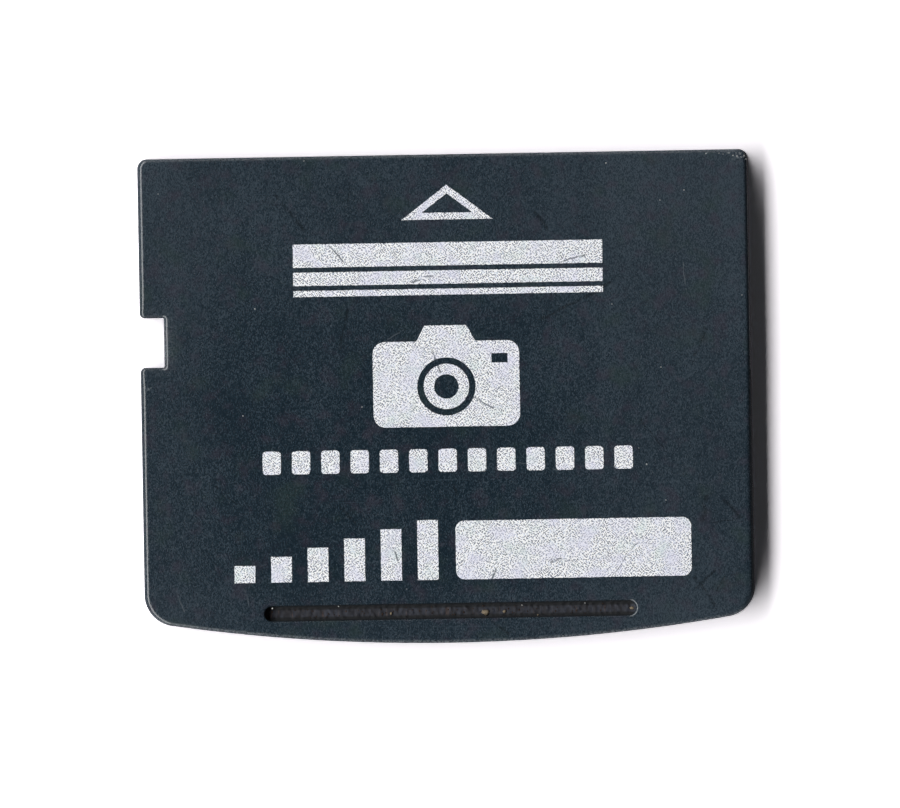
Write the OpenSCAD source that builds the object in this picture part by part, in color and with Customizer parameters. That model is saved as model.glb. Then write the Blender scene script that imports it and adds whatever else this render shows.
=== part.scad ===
// Flash memory card for a camera: a thin moulded case in two welded halves, with 18 flat contacts on its back.
// The front face looks up (+Z), and the card slides into its slot towards +Y.

/* [Card outline] */
// Width of the card across the slot
card_w = 25; // [24:0.25:30]
// Length of the card along the slot
card_l = 20; // [19:0.25:24]
// Thickness of the moulded case, without the ink
case_t = 1.76; // [1.66:0.02:2.4]
// How far the grip edge bows out at the middle
grip_bow = 1.07; // [0.5:0.05:1.6]
// Corner radius at the contact edge
nose_corner_r = 0.4; // [0.3:0.05:0.8]
// Corner radius at the grip edge
grip_corner_r = 1.3; // [0.8:0.1:2]
// Radius of the rolled edge round the front face
front_roll_r = 0.2; // [0.06:0.02:0.26]
// Radius of the rolled edge round the back face
back_roll_r = 0.12; // [0.06:0.02:0.2]

/* [Joint line] */
// Height of the joint between the two halves above the back face
split_z = 0.8; // [0.65:0.05:0.95]
// Bevel on each half where the joint shows
seam_bevel = 0.04; // [0.02:0.01:0.06]
// Width of the welding tongue on the back half
tongue_w = 0.3; // [0.15:0.05:0.35]
// Height of the welding tongue
tongue_h = 0.15; // [0.05:0.05:0.25]
// Wall between the pocket and the tongue
tongue_wall = 0.2; // [0.1:0.05:0.25]
// Running gap round the tongue and the board
fit_gap = 0.03; // [0.02:0.01:0.06]

/* [Latch notch] */
// Depth of the notch into the side of the card
notch_d = 0.98; // [0.7:0.02:1.4]
// Width of the notch along the side
notch_w = 2.03; // [1.5:0.01:3]
// Height of the notch's middle above the card's middle
notch_y = 2.48; // [0:0.02:5]
// Radius where the notch meets the side of the card
notch_lip_r = 0.2; // [0.08:0.02:0.3]
// Radius in the two inner corners of the notch
notch_root_r = 0.06; // [0.02:0.02:0.2]
// Bevel round the notch on both faces
notch_bevel = 0.14; // [0.04:0.02:0.16]
// Wall between the notch and the pocket
notch_wall = 0.85; // [0.7:0.05:1.2]

/* [Finger groove] */
// Length of the groove
groove_l = 15.2; // [8:0.2:18]
// Width of the groove
groove_w = 0.62; // [0.4:0.02:0.9]
// Depth of the groove
groove_depth = 0.6; // [0.2:0.05:0.7]
// From the middle of the grip edge to the middle of the groove
groove_inset = 1.31; // [0.9:0.01:1.7]
// Bevel round the mouth of the groove
groove_bevel = 0.08; // [0.02:0.01:0.08]

/* [Pocket] */
// Thickness of the back half's floor
floor_t = 0.22; // [0.16:0.02:0.3]
// Wall at the contact edge
nose_wall = 1; // [0.8:0.05:1.15]
// Wall at the grip edge
grip_wall = 2.4; // [2.2:0.1:3]
// Corner radius of the pocket
pocket_r = 0.5; // [0.2:0.1:0.8]
// Diameter of the posts that hold the board down
post_d = 0.7; // [0.4:0.1:0.9]
// From the board's edges to the middle of a post
post_inset = 0.6; // [0.5:0.05:0.8]

/* [Contacts] */
// Number of contacts
contact_n = 18; // [4:1:18]
// Spacing of the contacts
contact_pitch = 1.1; // [0.9:0.05:1.12]
// Width of a contact
contact_w = 0.8; // [0.5:0.05:0.85]
// Length of a contact
contact_l = 2.9; // [2:0.1:3.2]
// Thickness of a contact
contact_t = 0.04; // [0.02:0.01:0.08]
// Corner radius of a contact
contact_r = 0.1; // [0.05:0.01:0.2]
// From the card's edge to the contacts
contact_edge = 1.6; // [1.5:0.05:1.9]
// Plain board left round the contacts in their window
window_margin = 0.2; // [0.1:0.05:0.25]
// Bevel round the window
window_bevel = 0.08; // [0.04:0.02:0.12]
// Length of the lead-in slope on the contact edge
lead_l = 0.45; // [0.2:0.05:0.6]
// Height of the lead-in slope on the contact edge
lead_h = 0.16; // [0.1:0.02:0.3]

/* [Board and memory] */
// Thickness of the board
board_t = 0.28; // [0.2:0.02:0.36]
// Corner radius of the board
board_r = 0.45; // [0.2:0.05:0.8]
// Width of the memory package
package_w = 17; // [10:0.5:18]
// Length of the memory package
package_l = 12; // [8:0.5:12.5]
// Height of the memory package
package_h = 0.7; // [0.4:0.02:0.74]
// Slope of the package's moulded sides, as a run
package_draft = 0.12; // [0.05:0.01:0.2]
// From the board's grip end to the package
package_inset = 0.6; // [0.4:0.1:1]
// Gap left between the package and the roof
package_gap = 0.05; // [0.02:0.01:0.1]
// Length of a capacitor
capacitor_l = 1; // [0.6:0.1:1.6]
// Width of a capacitor
capacitor_w = 0.5; // [0.3:0.1:0.8]
// Height of a capacitor
capacitor_h = 0.5; // [0.3:0.05:0.6]
// Distance between the two capacitors' middles
capacitor_span = 11; // [4:0.5:14]
// From the board's contact end to the capacitors' middles
capacitor_inset = 1.6; // [1:0.1:2]

/* [Print] */
// Thickness of the silver ink
ink_t = 0.02; // [0.01:0.01:0.05]
// Sideways offset of the arrow and the stripes from the card's middle
print_shift = 0.14; // [-1:0.02:1]
// Width of the arrow's base
arrow_w = 3.73; // [2:0.01:5]
// Height of the arrow
arrow_h = 1.42; // [1:0.02:2]
// Height of the arrow's base line above the card's middle
arrow_y = 7.33; // [7:0.01:7.6]
// Stroke of the arrow
arrow_stroke = 0.28; // [0.1:0.02:0.36]
// Length of the stripes
stripe_l = 12.66; // [8:0.1:18]
// Height of the stripes' foot above the card's middle
stripe_y = 4.25; // [3.6:0.05:4.6]
// Gap between the stripes
stripe_gap = 0.2; // [0.1:0.05:0.4]
// Height of the thin stripe at the foot
stripe_thin = 0.25; // [0.1:0.05:0.4]
// Height of the middle stripe
stripe_middle = 0.55; // [0.4:0.05:0.7]
// Height of the thick stripe at the top
stripe_thick = 0.95; // [0.7:0.05:1]
// Width of the camera sign
camera_w = 6; // [4:0.2:9]
// Height of the camera sign without its hump
camera_h = 3.5; // [2.6:0.1:3.8]
// Height of the hump on the camera sign
camera_hump = 0.65; // [0.4:0.05:0.8]
// Height of the camera sign's foot above the card's middle
camera_y = -1.15; // [-1.4:0.05:-0.6]
// Number of blocks in the row under the camera sign
block_n = 13; // [5:1:15]
// Spacing of the blocks
block_pitch = 1.2; // [0.8:0.05:1.3]
// Width of a block
block_w = 0.75; // [0.3:0.05:0.76]
// Height of a block
block_h = 0.95; // [0.5:0.05:1.2]
// Height of the blocks' foot above the card's middle
block_y = -3; // [-3.3:0.05:-2.7]
// Number of bars in the gauge
bar_n = 6; // [2:1:6]
// Spacing of the bars
bar_pitch = 1.5; // [1:0.05:1.5]
// Width of a bar
bar_w = 0.85; // [0.4:0.05:0.9]
// Height of the lowest bar
bar_low = 0.7; // [0.4:0.1:1.2]
// Height of the tallest bar
bar_high = 2.45; // [1.4:0.05:2.6]
// Distance of the gauge's left side from the card's middle
bar_x = -8.8; // [-9.4:0.1:-8.6]
// Width of the write-on panel
panel_w = 9.64; // [6:0.02:9.8]
// Height of the write-on panel
panel_h = 2.4; // [1:0.1:2.6]
// Corner radius of the write-on panel
panel_r = 0.35; // [0.1:0.05:0.5]
// Distance of the panel's left side from the card's middle
panel_x = 0.27; // [0.1:0.01:1]
// Foot of the panel and the gauge above the card's middle
panel_y = -7.41; // [-7.45:0.01:-7.2]

/* [Hidden] */
$fn = 72;
cut = 0.5;                 // how far a cutter runs past the face that it cuts
half_w = card_w / 2;
half_l = card_l / 2;
roll_steps = 5;            // flats in a rolled edge
notch_x = notch_d - half_w;

// The grip edge is one arc over the card's whole width
bow_r = (half_w * half_w + grip_bow * grip_bow) / (2 * grip_bow);
bow_y = bow_r - half_l;
grip_corner_x = half_w - grip_corner_r;
grip_corner_y = bow_y - sqrt(pow(bow_r - grip_corner_r, 2) - pow(grip_corner_x, 2));
grip_angle = atan2(grip_corner_y - bow_y, grip_corner_x);

// Heights from the back face
board_z = floor_t;
board_top = board_z + board_t;
roof_z = board_top + package_h + package_gap;

// The pocket and the board in it
pocket_x = half_w - notch_d - notch_wall;
pocket_y0 = grip_wall - half_l;
pocket_y1 = half_l - nose_wall;
board_x = pocket_x - fit_gap;
board_y0 = pocket_y0 + fit_gap;
board_y1 = pocket_y1 - fit_gap;

// The contact row and its window
row_w = (contact_n - 1) * contact_pitch + contact_w;
contact_y1 = half_l - contact_edge;
contact_y0 = contact_y1 - contact_l;
window_x = row_w / 2 + window_margin;
window_y0 = contact_y0 - window_margin;
window_y1 = contact_y1 + window_margin;

stripes = [stripe_thin, stripe_middle, stripe_thick];   // from the foot up

CONTACTS = [for (i = [1 : contact_n]) str("contact_", i < 10 ? "0" : "", i)];
PRINTS = ["arrow_print", "stripe_print", "camera_print", "block_print", "gauge_print", "write_on_panel"];
INSIDES = ["circuit_board", "memory_package", "capacitor_1", "capacitor_2"];

// Points along an arc, both ends included
function arc(x, y, r, from, to, steps) =
    [for (i = [0 : steps]) let (a = from + (to - from) * i / steps) [x + r * cos(a), y + r * sin(a)]];

// The card's outline without its notch, moved inwards by inset
function outline(inset) = concat(
    arc(half_w - nose_corner_r, half_l - nose_corner_r, nose_corner_r - inset, 0, 90, 6),
    arc(nose_corner_r - half_w, half_l - nose_corner_r, nose_corner_r - inset, 90, 180, 6),
    arc(-grip_corner_x, grip_corner_y, grip_corner_r - inset, 180, 180 - grip_angle, 10),
    arc(0, bow_y, bow_r - inset, 180 - grip_angle, 360 + grip_angle, 28),
    arc(grip_corner_x, grip_corner_y, grip_corner_r - inset, 360 + grip_angle, 360, 10));

// The outline without the points that two neighbouring arcs share
function ring(inset) = let (p = outline(inset))
    [for (i = [0 : len(p) - 1]) if (norm(p[i] - p[(i + 1) % len(p)]) > 0.001) p[i]];

// Heights and insets of a rolled edge of radius r that ends at height z
function roll(z, r, up) = [for (i = [0 : roll_steps]) let (a = 90 * i / roll_steps)
    [z - up * r * (1 - sin(a)), r * (1 - cos(a))]];

// A solid through one outline ring at each [height, inset], lowest first
module stacked(levels) {
    rings = [for (level = levels) [for (p = ring(level[1])) [p[0], p[1], level[0]]]];
    n = len(rings[0]);
    top = len(levels) - 1;
    sides = [for (k = [0 : top - 1]) for (i = [0 : n - 1])
        [k * n + i, (k + 1) * n + i, (k + 1) * n + (i + 1) % n, k * n + (i + 1) % n]];
    points = [for (r = rings) for (p = r) p];
    floor_face = [for (i = [0 : n - 1]) i];
    roof_face = [for (i = [n - 1 : -1 : 0]) top * n + i];
    polyhedron(points, concat(sides, [floor_face, roof_face]));
}

// A rectangle with rounded corners, given by its lowest and highest corner
module rounded(low, high, r) {
    size = high - low;
    translate(low + [r, 0]) square([size[0] - 2 * r, size[1]]);
    translate(low + [0, r]) square([size[0], size[1] - 2 * r]);
    for (x = [low[0] + r, high[0] - r], y = [low[1] + r, high[1] - r])
        translate([x, y]) circle(r);
}

// A bar whose cross-section in width and height is the child, lying along X from x0 to x1
module along_x(x0, x1) {
    translate([x0, 0, 0]) rotate([90, 0, 90]) linear_extrude(x1 - x0) children();
}

// A bar whose cross-section in width and height is the child, lying along Y from y0 to y1
module along_y(y0, y1) {
    translate([0, y1, 0]) rotate([90, 0, 0]) linear_extrude(y1 - y0) children();
}

// Cross-section of a bevelled mouth: a strip from a to b that widens by 45 degrees above z
module mouth(a, b, z, rise) {
    polygon([[a, z], [b, z], [b + rise, z + rise], [a - rise, z + rise]]);
}

// A four-sided flared plug that bevels the mouth of a rectangular opening at height z, opening upwards
module flare(low, high, z, bevel) {
    rise = bevel + cut / 4;
    intersection() {
        along_x(low[0] - rise, high[0] + rise) mouth(low[1], high[1], z - bevel, rise);
        along_y(low[1] - rise, high[1] + rise) mouth(low[0], high[0], z - bevel, rise);
    }
}

// What the latch notch takes out of a half between two heights
module notch_cutter(z0, z1) {
    y0 = notch_y - notch_w / 2;
    y1 = notch_y + notch_w / 2;
    translate([0, 0, z0]) linear_extrude(z1 - z0) {
        rounded([-half_w - 2, y0], [notch_x, y1], notch_root_r);
        for (side = [0, 1])
            translate([-half_w, side == 1 ? y0 : y1]) mirror([0, side, 0]) lip_cutter();
    }
}

// The waste outside the rounded corner where the notch meets the card's side
module lip_cutter() {
    polygon(concat([[-cut, -cut], [notch_lip_r, -cut]],
        arc(notch_lip_r, notch_lip_r, notch_lip_r, 270, 180, 6), [[-cut, notch_lip_r]]));
}

// The bevel round the notch at the front face
module notch_flare() {
    flare([-half_w - 2, notch_y - notch_w / 2], [notch_x, notch_y + notch_w / 2], case_t, notch_bevel);
}

// The finger groove: a round-ended slot with a bevelled mouth
module groove_cutter() {
    end_x = (groove_l - groove_w) / 2;
    r = groove_w / 2;
    rise = groove_bevel + cut / 4;
    translate([0, groove_inset - half_l, case_t]) {
        along_x(-end_x, end_x) groove_section(r, rise);
        for (side = [-1, 1])
            translate([side * end_x, 0, 0]) rotate(side * 90 - 180) rotate_extrude(angle = 180)
                intersection() {
                    groove_section(r, rise);
                    translate([0, -case_t]) square([2 * groove_w, 2 * case_t]);
                }
    }
}

// Cross-section of the groove, with its mouth at height 0
module groove_section(r, rise) {
    translate([-r, -groove_depth]) square([2 * r, groove_depth + cut / 4]);
    mouth(-r, r, -groove_bevel, rise);
}

// The band that the welding tongue follows round the pocket, widened by gap on each side
module tongue_band(gap) {
    difference() {
        rounded([-pocket_x, pocket_y0] - (tongue_wall + tongue_w + gap) * [1, 1],
            [pocket_x, pocket_y1] + (tongue_wall + tongue_w + gap) * [1, 1],
            pocket_r + tongue_wall + tongue_w + gap);
        rounded([-pocket_x, pocket_y0] - (tongue_wall - gap) * [1, 1],
            [pocket_x, pocket_y1] + (tongue_wall - gap) * [1, 1], pocket_r + tongue_wall - gap);
    }
}

module pocket_shape() {
    rounded([-pocket_x, pocket_y0], [pocket_x, pocket_y1], pocket_r);
}

// Upper half of the case: roof, rolled edge, finger groove and the posts that hold the board down
module front_cover() {
    color("#2b3740") {
        difference() {
            stacked(concat([[split_z, seam_bevel], [split_z + seam_bevel, 0]], roll(case_t, front_roll_r, 1)));
            translate([0, 0, split_z - cut]) linear_extrude(roof_z - split_z + cut) pocket_shape();
            translate([0, 0, split_z - cut]) linear_extrude(tongue_h + fit_gap + cut) tongue_band(fit_gap);
            notch_cutter(split_z - cut, case_t + cut);
            notch_flare();
            groove_cutter();
        }
        for (x = [-1, 1] * (board_x - post_inset), y = [board_y0 + post_inset, board_y1 - post_inset])
            translate([x, y, board_top]) cylinder(h = roof_z - board_top + (case_t - roof_z) / 2, d = post_d);
    }
}

// Lower half of the case: floor with the contact window, lead-in slope and welding tongue
module back_cover() {
    rolled = roll(0, back_roll_r, -1);
    color("#242f37") {
        difference() {
            stacked(concat([for (i = [roll_steps : -1 : 0]) rolled[i]],
                [[split_z - seam_bevel, 0], [split_z, seam_bevel]]));
            translate([0, 0, floor_t]) linear_extrude(split_z) pocket_shape();
            translate([0, 0, -cut]) linear_extrude(floor_t + 2 * cut)
                translate([-window_x, window_y0]) square([2 * window_x, window_y1 - window_y0]);
            mirror([0, 0, 1]) flare([-window_x, window_y0], [window_x, window_y1], 0, window_bevel);
            notch_cutter(-cut, split_z + cut);
            mirror([0, 0, 1]) translate([0, 0, -case_t]) notch_flare();
            along_x(-half_w - cut, half_w + cut) lead_section();
        }
        translate([0, 0, split_z - seam_bevel]) linear_extrude(seam_bevel + tongue_h) tongue_band(0);
    }
}

// Cross-section of what the lead-in slope takes off the contact edge
module lead_section() {
    slope = lead_h / lead_l;
    polygon([[half_l - lead_l - cut, -cut * slope], [half_l + cut, lead_h + cut * slope],
        [half_l + cut, -cut], [half_l - lead_l - cut, -cut]]);
}

module circuit_board() {
    color("#12301f") translate([0, 0, board_z]) linear_extrude(board_t)
        rounded([-board_x, board_y0], [board_x, board_y1], board_r);
}

// Moulded memory package on the board, with sides that slope in towards its top
module memory_package() {
    y0 = board_y0 + package_inset;
    y1 = y0 + package_l;
    color("#1a1a1c") translate([0, 0, board_top]) intersection() {
        along_x(-package_w / 2, package_w / 2)
            polygon([[y0, 0], [y1, 0], [y1 - package_draft, package_h], [y0 + package_draft, package_h]]);
        along_y(y0, y1)
            polygon([[-package_w / 2, 0], [package_w / 2, 0],
                [package_w / 2 - package_draft, package_h], [package_draft - package_w / 2, package_h]]);
    }
}

// Ceramic chip capacitor, side -1 on the left and 1 on the right
module capacitor(side) {
    color("#b59a78")
        translate([side * capacitor_span / 2, board_y1 - capacitor_inset, board_top + capacitor_h / 2])
            cube([capacitor_l, capacitor_w, capacitor_h], center = true);
}

// One gold-plated contact under the board, counted from the left
module contact(i) {
    x = (i - (contact_n - 1) / 2) * contact_pitch;
    color("#d9b24c") translate([x, 0, board_z - contact_t]) linear_extrude(contact_t)
        rounded([-contact_w / 2, contact_y0], [contact_w / 2, contact_y1], contact_r);
}

// A field of silver ink on the front face
module ink() {
    color("#c9ccd2") translate([0, 0, case_t]) linear_extrude(ink_t) children();
}

// Triangle that shows which way the card goes in
module arrow_print() {
    side = norm([arrow_w / 2, arrow_h]);
    inner_r = arrow_w * arrow_h / (arrow_w + 2 * side);
    shrink = (inner_r - arrow_stroke) / inner_r;
    triangle = [[-arrow_w / 2, 0], [arrow_w / 2, 0], [0, arrow_h]];
    ink() translate([print_shift, arrow_y]) difference() {
        polygon(triangle);
        polygon([for (p = triangle) [0, inner_r] + shrink * (p - [0, inner_r])]);
    }
}

// Three stripes that grow from the foot up
module stripe_print() {
    for (i = [0 : len(stripes) - 1]) {
        foot = stripe_y + i * stripe_gap + (i > 0 ? stripes[0] : 0) + (i > 1 ? stripes[1] : 0);
        ink() translate([print_shift - stripe_l / 2, foot]) square([stripe_l, stripes[i]]);
    }
}

// Plain camera sign: body with a hump, a ring for the lens and a small window
module camera_print() {
    lens_y = camera_h * 0.47;
    lens_r = camera_h * 0.34;
    window = [camera_w * 0.11, camera_h * 0.11];
    ink() translate([0, camera_y]) {
        difference() {
            union() {
                rounded([-camera_w / 2, 0], [camera_w / 2, camera_h], camera_h / 7);
                polygon([[-camera_w / 5, camera_h], [camera_w / 5, camera_h],
                    [camera_w / 7, camera_h + camera_hump], [-camera_w / 7, camera_h + camera_hump]]);
            }
            translate([0, lens_y]) circle(lens_r);
            translate([camera_w * 0.31, camera_h * 0.74]) square(window);
        }
        translate([0, lens_y]) difference() {
            circle(lens_r * 0.78);
            circle(lens_r * 0.42);
        }
    }
}

// Row of equal blocks
module block_print() {
    for (i = [0 : block_n - 1])
        ink() translate([(i - (block_n - 1) / 2) * block_pitch - block_w / 2, block_y])
            rounded([0, 0], [block_w, block_h], block_w / 6);
}

// Bars that rise from left to right
module gauge_print() {
    for (i = [0 : bar_n - 1])
        ink() translate([bar_x + i * bar_pitch, panel_y])
            square([bar_w, bar_low + (bar_high - bar_low) * i / (bar_n - 1)]);
}

module write_on_panel() {
    ink() rounded([panel_x, panel_y], [panel_x + panel_w, panel_y + panel_h], panel_r);
}

front_cover();
back_cover();
circuit_board();
memory_package();
capacitor(-1);  // capacitor_1
capacitor(1);  // capacitor_2
for (i = [0 : contact_n - 1]) contact(i);
arrow_print();
stripe_print();
camera_print();
block_print();
gauge_print();
write_on_panel();
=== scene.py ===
# %% [markdown]
# # A used memory card, laid on a scanner
#
# The object is a flash card no bigger than a stamp: two moulded halves of dark slate plastic, silver
# ink on the front, and gold contacts in a shallow window on the back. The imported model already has
# every piece at its size. This script gives the pieces their looks: rolled edges, grain, sparkle,
# scratches, and the dirt in the groove.

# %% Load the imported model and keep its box
import math

import bpy
import numpy as np
from mathutils.geometry import delaunay_2d_cdt
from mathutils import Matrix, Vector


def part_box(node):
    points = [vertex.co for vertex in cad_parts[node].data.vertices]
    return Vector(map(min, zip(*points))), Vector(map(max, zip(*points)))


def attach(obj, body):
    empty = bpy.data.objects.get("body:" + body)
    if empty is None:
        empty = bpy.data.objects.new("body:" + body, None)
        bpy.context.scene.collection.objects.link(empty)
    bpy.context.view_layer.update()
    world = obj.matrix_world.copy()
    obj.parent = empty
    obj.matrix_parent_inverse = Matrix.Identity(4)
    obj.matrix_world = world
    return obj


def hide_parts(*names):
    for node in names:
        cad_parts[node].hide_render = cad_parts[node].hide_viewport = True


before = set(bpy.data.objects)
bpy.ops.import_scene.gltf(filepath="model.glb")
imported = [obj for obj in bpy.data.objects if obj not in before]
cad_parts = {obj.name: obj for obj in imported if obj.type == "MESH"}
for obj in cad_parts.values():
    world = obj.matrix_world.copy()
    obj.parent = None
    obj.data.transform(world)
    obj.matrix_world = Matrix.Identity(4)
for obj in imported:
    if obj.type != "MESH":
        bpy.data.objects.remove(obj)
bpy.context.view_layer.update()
MM = 0.001
print("pieces in the model:", len(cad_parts))

# %% [markdown]
# ## Measures
#
# Heights and widths come from the model's own boxes, so a piece made here sits where the solid sits.
# What a box can't tell, such as a corner radius, is written down once here. All of it is in
# millimetres.

# %% Read the heights and half widths off the model's boxes
def box_mm(name):
    """Lowest and highest corner of a piece of the model, in millimetres."""
    return [np.array(corner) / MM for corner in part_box(name)]


PAD_COUNT = 18
front_low, front_high = box_mm("front_cover")
board_low, board_high = box_mm("circuit_board")
first_pad_low, first_pad_high = box_mm("contact_01")
last_pad_low, last_pad_high = box_mm(f"contact_{PAD_COUNT:02d}")
half_w = front_high[0]
half_l = front_high[1]
case_t = front_high[2]
split_z = front_low[2]
tongue_top = box_mm("back_cover")[1][2]
floor_t = board_low[2]
board_top = board_high[2]
package_top = box_mm("memory_package")[1][2]
ink_top = box_mm("write_on_panel")[1][2]
print(f"case {2 * half_w:.2f} x {2 * half_l:.2f} x {case_t:.2f} mm, halves meet at {split_z:.2f}")

# %% Sizes that the boxes don't show
NOSE_CORNER_R = 0.4
GRIP_CORNER_R = 1.3
GRIP_BOW = 1.07
FRONT_ROLL_R = 0.2
WORN_ROLL_R = 0.34
BACK_ROLL_R = 0.12
SEAM_BEVEL = 0.04
NOTCH_DEPTH = 0.98
NOTCH_WIDTH = 2.03
NOTCH_Y = 2.48
NOTCH_LIP_R = 0.2
NOTCH_ROOT_R = 0.06
NOTCH_ROLL_R = 0.165
NOTCH_EASE = 0.6
GROOVE_LENGTH = 15.2
GROOVE_WIDTH = 0.62
GROOVE_DEPTH = 0.6
GROOVE_INSET = 1.31
GROOVE_LIP_R = 0.08
GROOVE_FOOT_R = 0.16
WINDOW_MARGIN = 0.2
WINDOW_BEVEL = 0.08
LEAD_LENGTH = 0.45
LEAD_HEIGHT = 0.16
POCKET_R = 0.5
FIT_GAP = 0.03
PACKAGE_GAP = 0.05
TONGUE_WALL = 0.2
TONGUE_WIDTH = 0.3
POST_D = 0.7
POST_INSET = 0.6
print(f"rolled edge {FRONT_ROLL_R}, notch {NOTCH_WIDTH} x {NOTCH_DEPTH}, groove {GROOVE_LENGTH} mm long")

# %% [markdown]
# ## Camera
#
# The photograph is a flat-bed scan, which looks straight down. A very long lens high above the card
# does the same, and hides the side walls as a scan does. The card lies a little turned in the scan, so
# the camera is turned instead of the card: the card keeps its own axes.

# %% Put a long lens straight above the card
PHOTO_WIDTH_PX = 900
PHOTO_CENTRE_PX = (450.0, 404.0)
CARD_CENTRE_PX = (446.6, 398.5)
PX_PER_MM = 24.44
CARD_TURN = math.radians(1.0)
LENS_MM = 1000.0
SENSOR_MM = 36.0


def photo_to_card(px, py):
    """Where a pixel of the photograph lies on the card, in mm: shift to its centre, scale, turn back."""
    right = (px - CARD_CENTRE_PX[0]) / PX_PER_MM
    up = (CARD_CENTRE_PX[1] - py) / PX_PER_MM
    turned_x = right * math.cos(CARD_TURN) + up * math.sin(CARD_TURN)
    turned_y = up * math.cos(CARD_TURN) - right * math.sin(CARD_TURN)
    return turned_x, turned_y


camera_data = bpy.data.cameras.new("scan_camera")
camera_data.lens = LENS_MM
camera_data.sensor_width = SENSOR_MM
camera_data.clip_start = MM
camera = bpy.data.objects.new("scan_camera", camera_data)
bpy.context.scene.collection.objects.link(camera)
camera_height = PHOTO_WIDTH_PX / PX_PER_MM * LENS_MM / SENSOR_MM + case_t
camera_x, camera_y = photo_to_card(*PHOTO_CENTRE_PX)
camera.location = (camera_x * MM, camera_y * MM, camera_height * MM)
camera.rotation_euler = (0.0, 0.0, -CARD_TURN)
bpy.context.scene.camera = camera
print(f"camera {camera_height:.1f} mm up, over {camera_x:.2f}, {camera_y:.2f}")

# %% [markdown]
# ## Light
#
# A scanner lights its bed with one tube that runs along the picture's height, to the left of the strip
# being read. Its angle shows in the shadow: the card is 1.76 mm thick, its full shadow is about 0.6 mm
# wide and then fades away within 2 mm, so the light comes from 20 to 49 degrees off the vertical. The
# tube is much longer than the card is wide, so the shadow's two ends are soft. A long area lamp does
# that. Its power is worked out by adding up the light from small patches of it, so that white paper
# just renders white.

# %% Set the tube lamp and the faint light from all round
TUBE_TILT = math.radians(34.6)
TUBE_HALF_ANGLE = math.radians(14.8)
TUBE_DISTANCE = 0.8
TUBE_ANGLES = (math.radians(-72.0), math.radians(76.0))
LAMP_SHARE = 0.97
ROUND_SHARE = 0.02
PATCHES_ACROSS = 12
PATCHES_ALONG = 120


def patch_middles(count, size):
    """The middles of count equal steps along a size that is centred on zero."""
    return (np.arange(count) + 0.5) / count * size - size / 2


def tube_power(width, length, centre, wanted):
    """Watts at which an area lamp lights the card with the wanted share of white.

    Irradiance is the sum over patches of L cos a cos b dA / r2, and L is W / (pi A).
    """
    u, v = np.meshgrid(patch_middles(PATCHES_ACROSS, width), patch_middles(PATCHES_ALONG, length))
    normal = np.array((-centre[0], 0.0, -centre[2])) / math.hypot(centre[0], centre[2])
    side = np.array((normal[2], 0.0, -normal[0]))
    point = centre + u[..., None] * side + v[..., None] * np.array((0.0, 1.0, 0.0))
    r2 = (point ** 2).sum(-1)
    at_lamp = -(point * normal).sum(-1) / np.sqrt(r2)
    at_card = point[..., 2] / np.sqrt(r2)
    patch = width * length / u.size
    per_radiance = (at_lamp.clip(0) * at_card.clip(0) * patch / r2).sum()
    return wanted * math.pi / per_radiance * math.pi * width * length


tube_axis_z = TUBE_DISTANCE * math.cos(TUBE_TILT)
tube_axis_x = -TUBE_DISTANCE * math.sin(TUBE_TILT)
tube_ends = [TUBE_DISTANCE * math.tan(angle) for angle in TUBE_ANGLES]
tube_width = 2 * TUBE_DISTANCE * math.tan(TUBE_HALF_ANGLE)
tube_length = tube_ends[1] - tube_ends[0]
tube_centre = np.array((tube_axis_x, sum(tube_ends) / 2, tube_axis_z))
tube_data = bpy.data.lights.new("tube_lamp", "AREA")
tube_data.shape = "RECTANGLE"
tube_data.size = tube_width
tube_data.size_y = tube_length
tube_data.energy = tube_power(tube_width, tube_length, tube_centre, LAMP_SHARE)
tube = bpy.data.objects.new("tube_lamp", tube_data)
bpy.context.scene.collection.objects.link(tube)
tube.location = (
    tube_centre[0] * math.cos(CARD_TURN) + tube_centre[1] * math.sin(CARD_TURN),
    tube_centre[1] * math.cos(CARD_TURN) - tube_centre[0] * math.sin(CARD_TURN),
    tube_centre[2],
)
tube.rotation_euler = (0.0, -TUBE_TILT, -CARD_TURN)
print(f"tube lamp {tube_width / MM:.0f} x {tube_length / MM:.0f} mm, {tube_data.energy:.3f} W")

# %% [markdown]
# ## Node helpers
#
# A material here is a small network. These few functions add a node, feed a socket with either a number
# or another socket, and return the socket that comes out, so that a network reads from top to bottom
# like a sum.

# %% Small functions that build shader networks
def feed(tree, value, socket):
    """Links value to a socket where value is itself a socket, or else sets it."""
    if isinstance(value, bpy.types.NodeSocket):
        tree.links.new(value, socket)
    else:
        socket.default_value = value


def add(tree, kind, settings=None, **inputs):
    """Adds a node, sets its settings, feeds its named inputs and returns it."""
    made = tree.nodes.new("ShaderNode" + kind)
    for name, value in (settings or {}).items():
        setattr(made, name, value)
    for name, value in inputs.items():
        feed(tree, value, made.inputs[name.replace("_", " ")])
    return made


def calc(tree, operation, *values):
    """One sum of a Math node, held between 0 and 1 where the operation's name ends in CLAMPED."""
    clamped = operation.endswith("_CLAMPED")
    made = add(tree, "Math", {"operation": operation.removesuffix("_CLAMPED"), "use_clamp": clamped})
    for value, socket in zip(values, made.inputs):
        feed(tree, value, socket)
    return made.outputs[0]


def vector_calc(tree, operation, *values):
    """One sum of a Vector Math node. A dot product or a distance comes out as a number."""
    made = add(tree, "VectorMath", {"operation": operation})
    sockets = [made.inputs[0], made.inputs["Scale"]] if operation == "SCALE" else made.inputs
    for value, socket in zip(values, sockets):
        feed(tree, value, socket)
    return made.outputs["Value" if operation in ("DOT_PRODUCT", "DISTANCE") else "Vector"]


def step(tree, value, low, high, to_low=0.0, to_high=1.0):
    """A smooth step from to_low to to_high as value goes from low to high."""
    made = add(tree, "MapRange", {"interpolation_type": "SMOOTHSTEP"}, Value=value)
    for name, number in zip(("From Min", "From Max", "To Min", "To Max"), (low, high, to_low, to_high)):
        feed(tree, number, made.inputs[name])
    return made.outputs[0]


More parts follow.
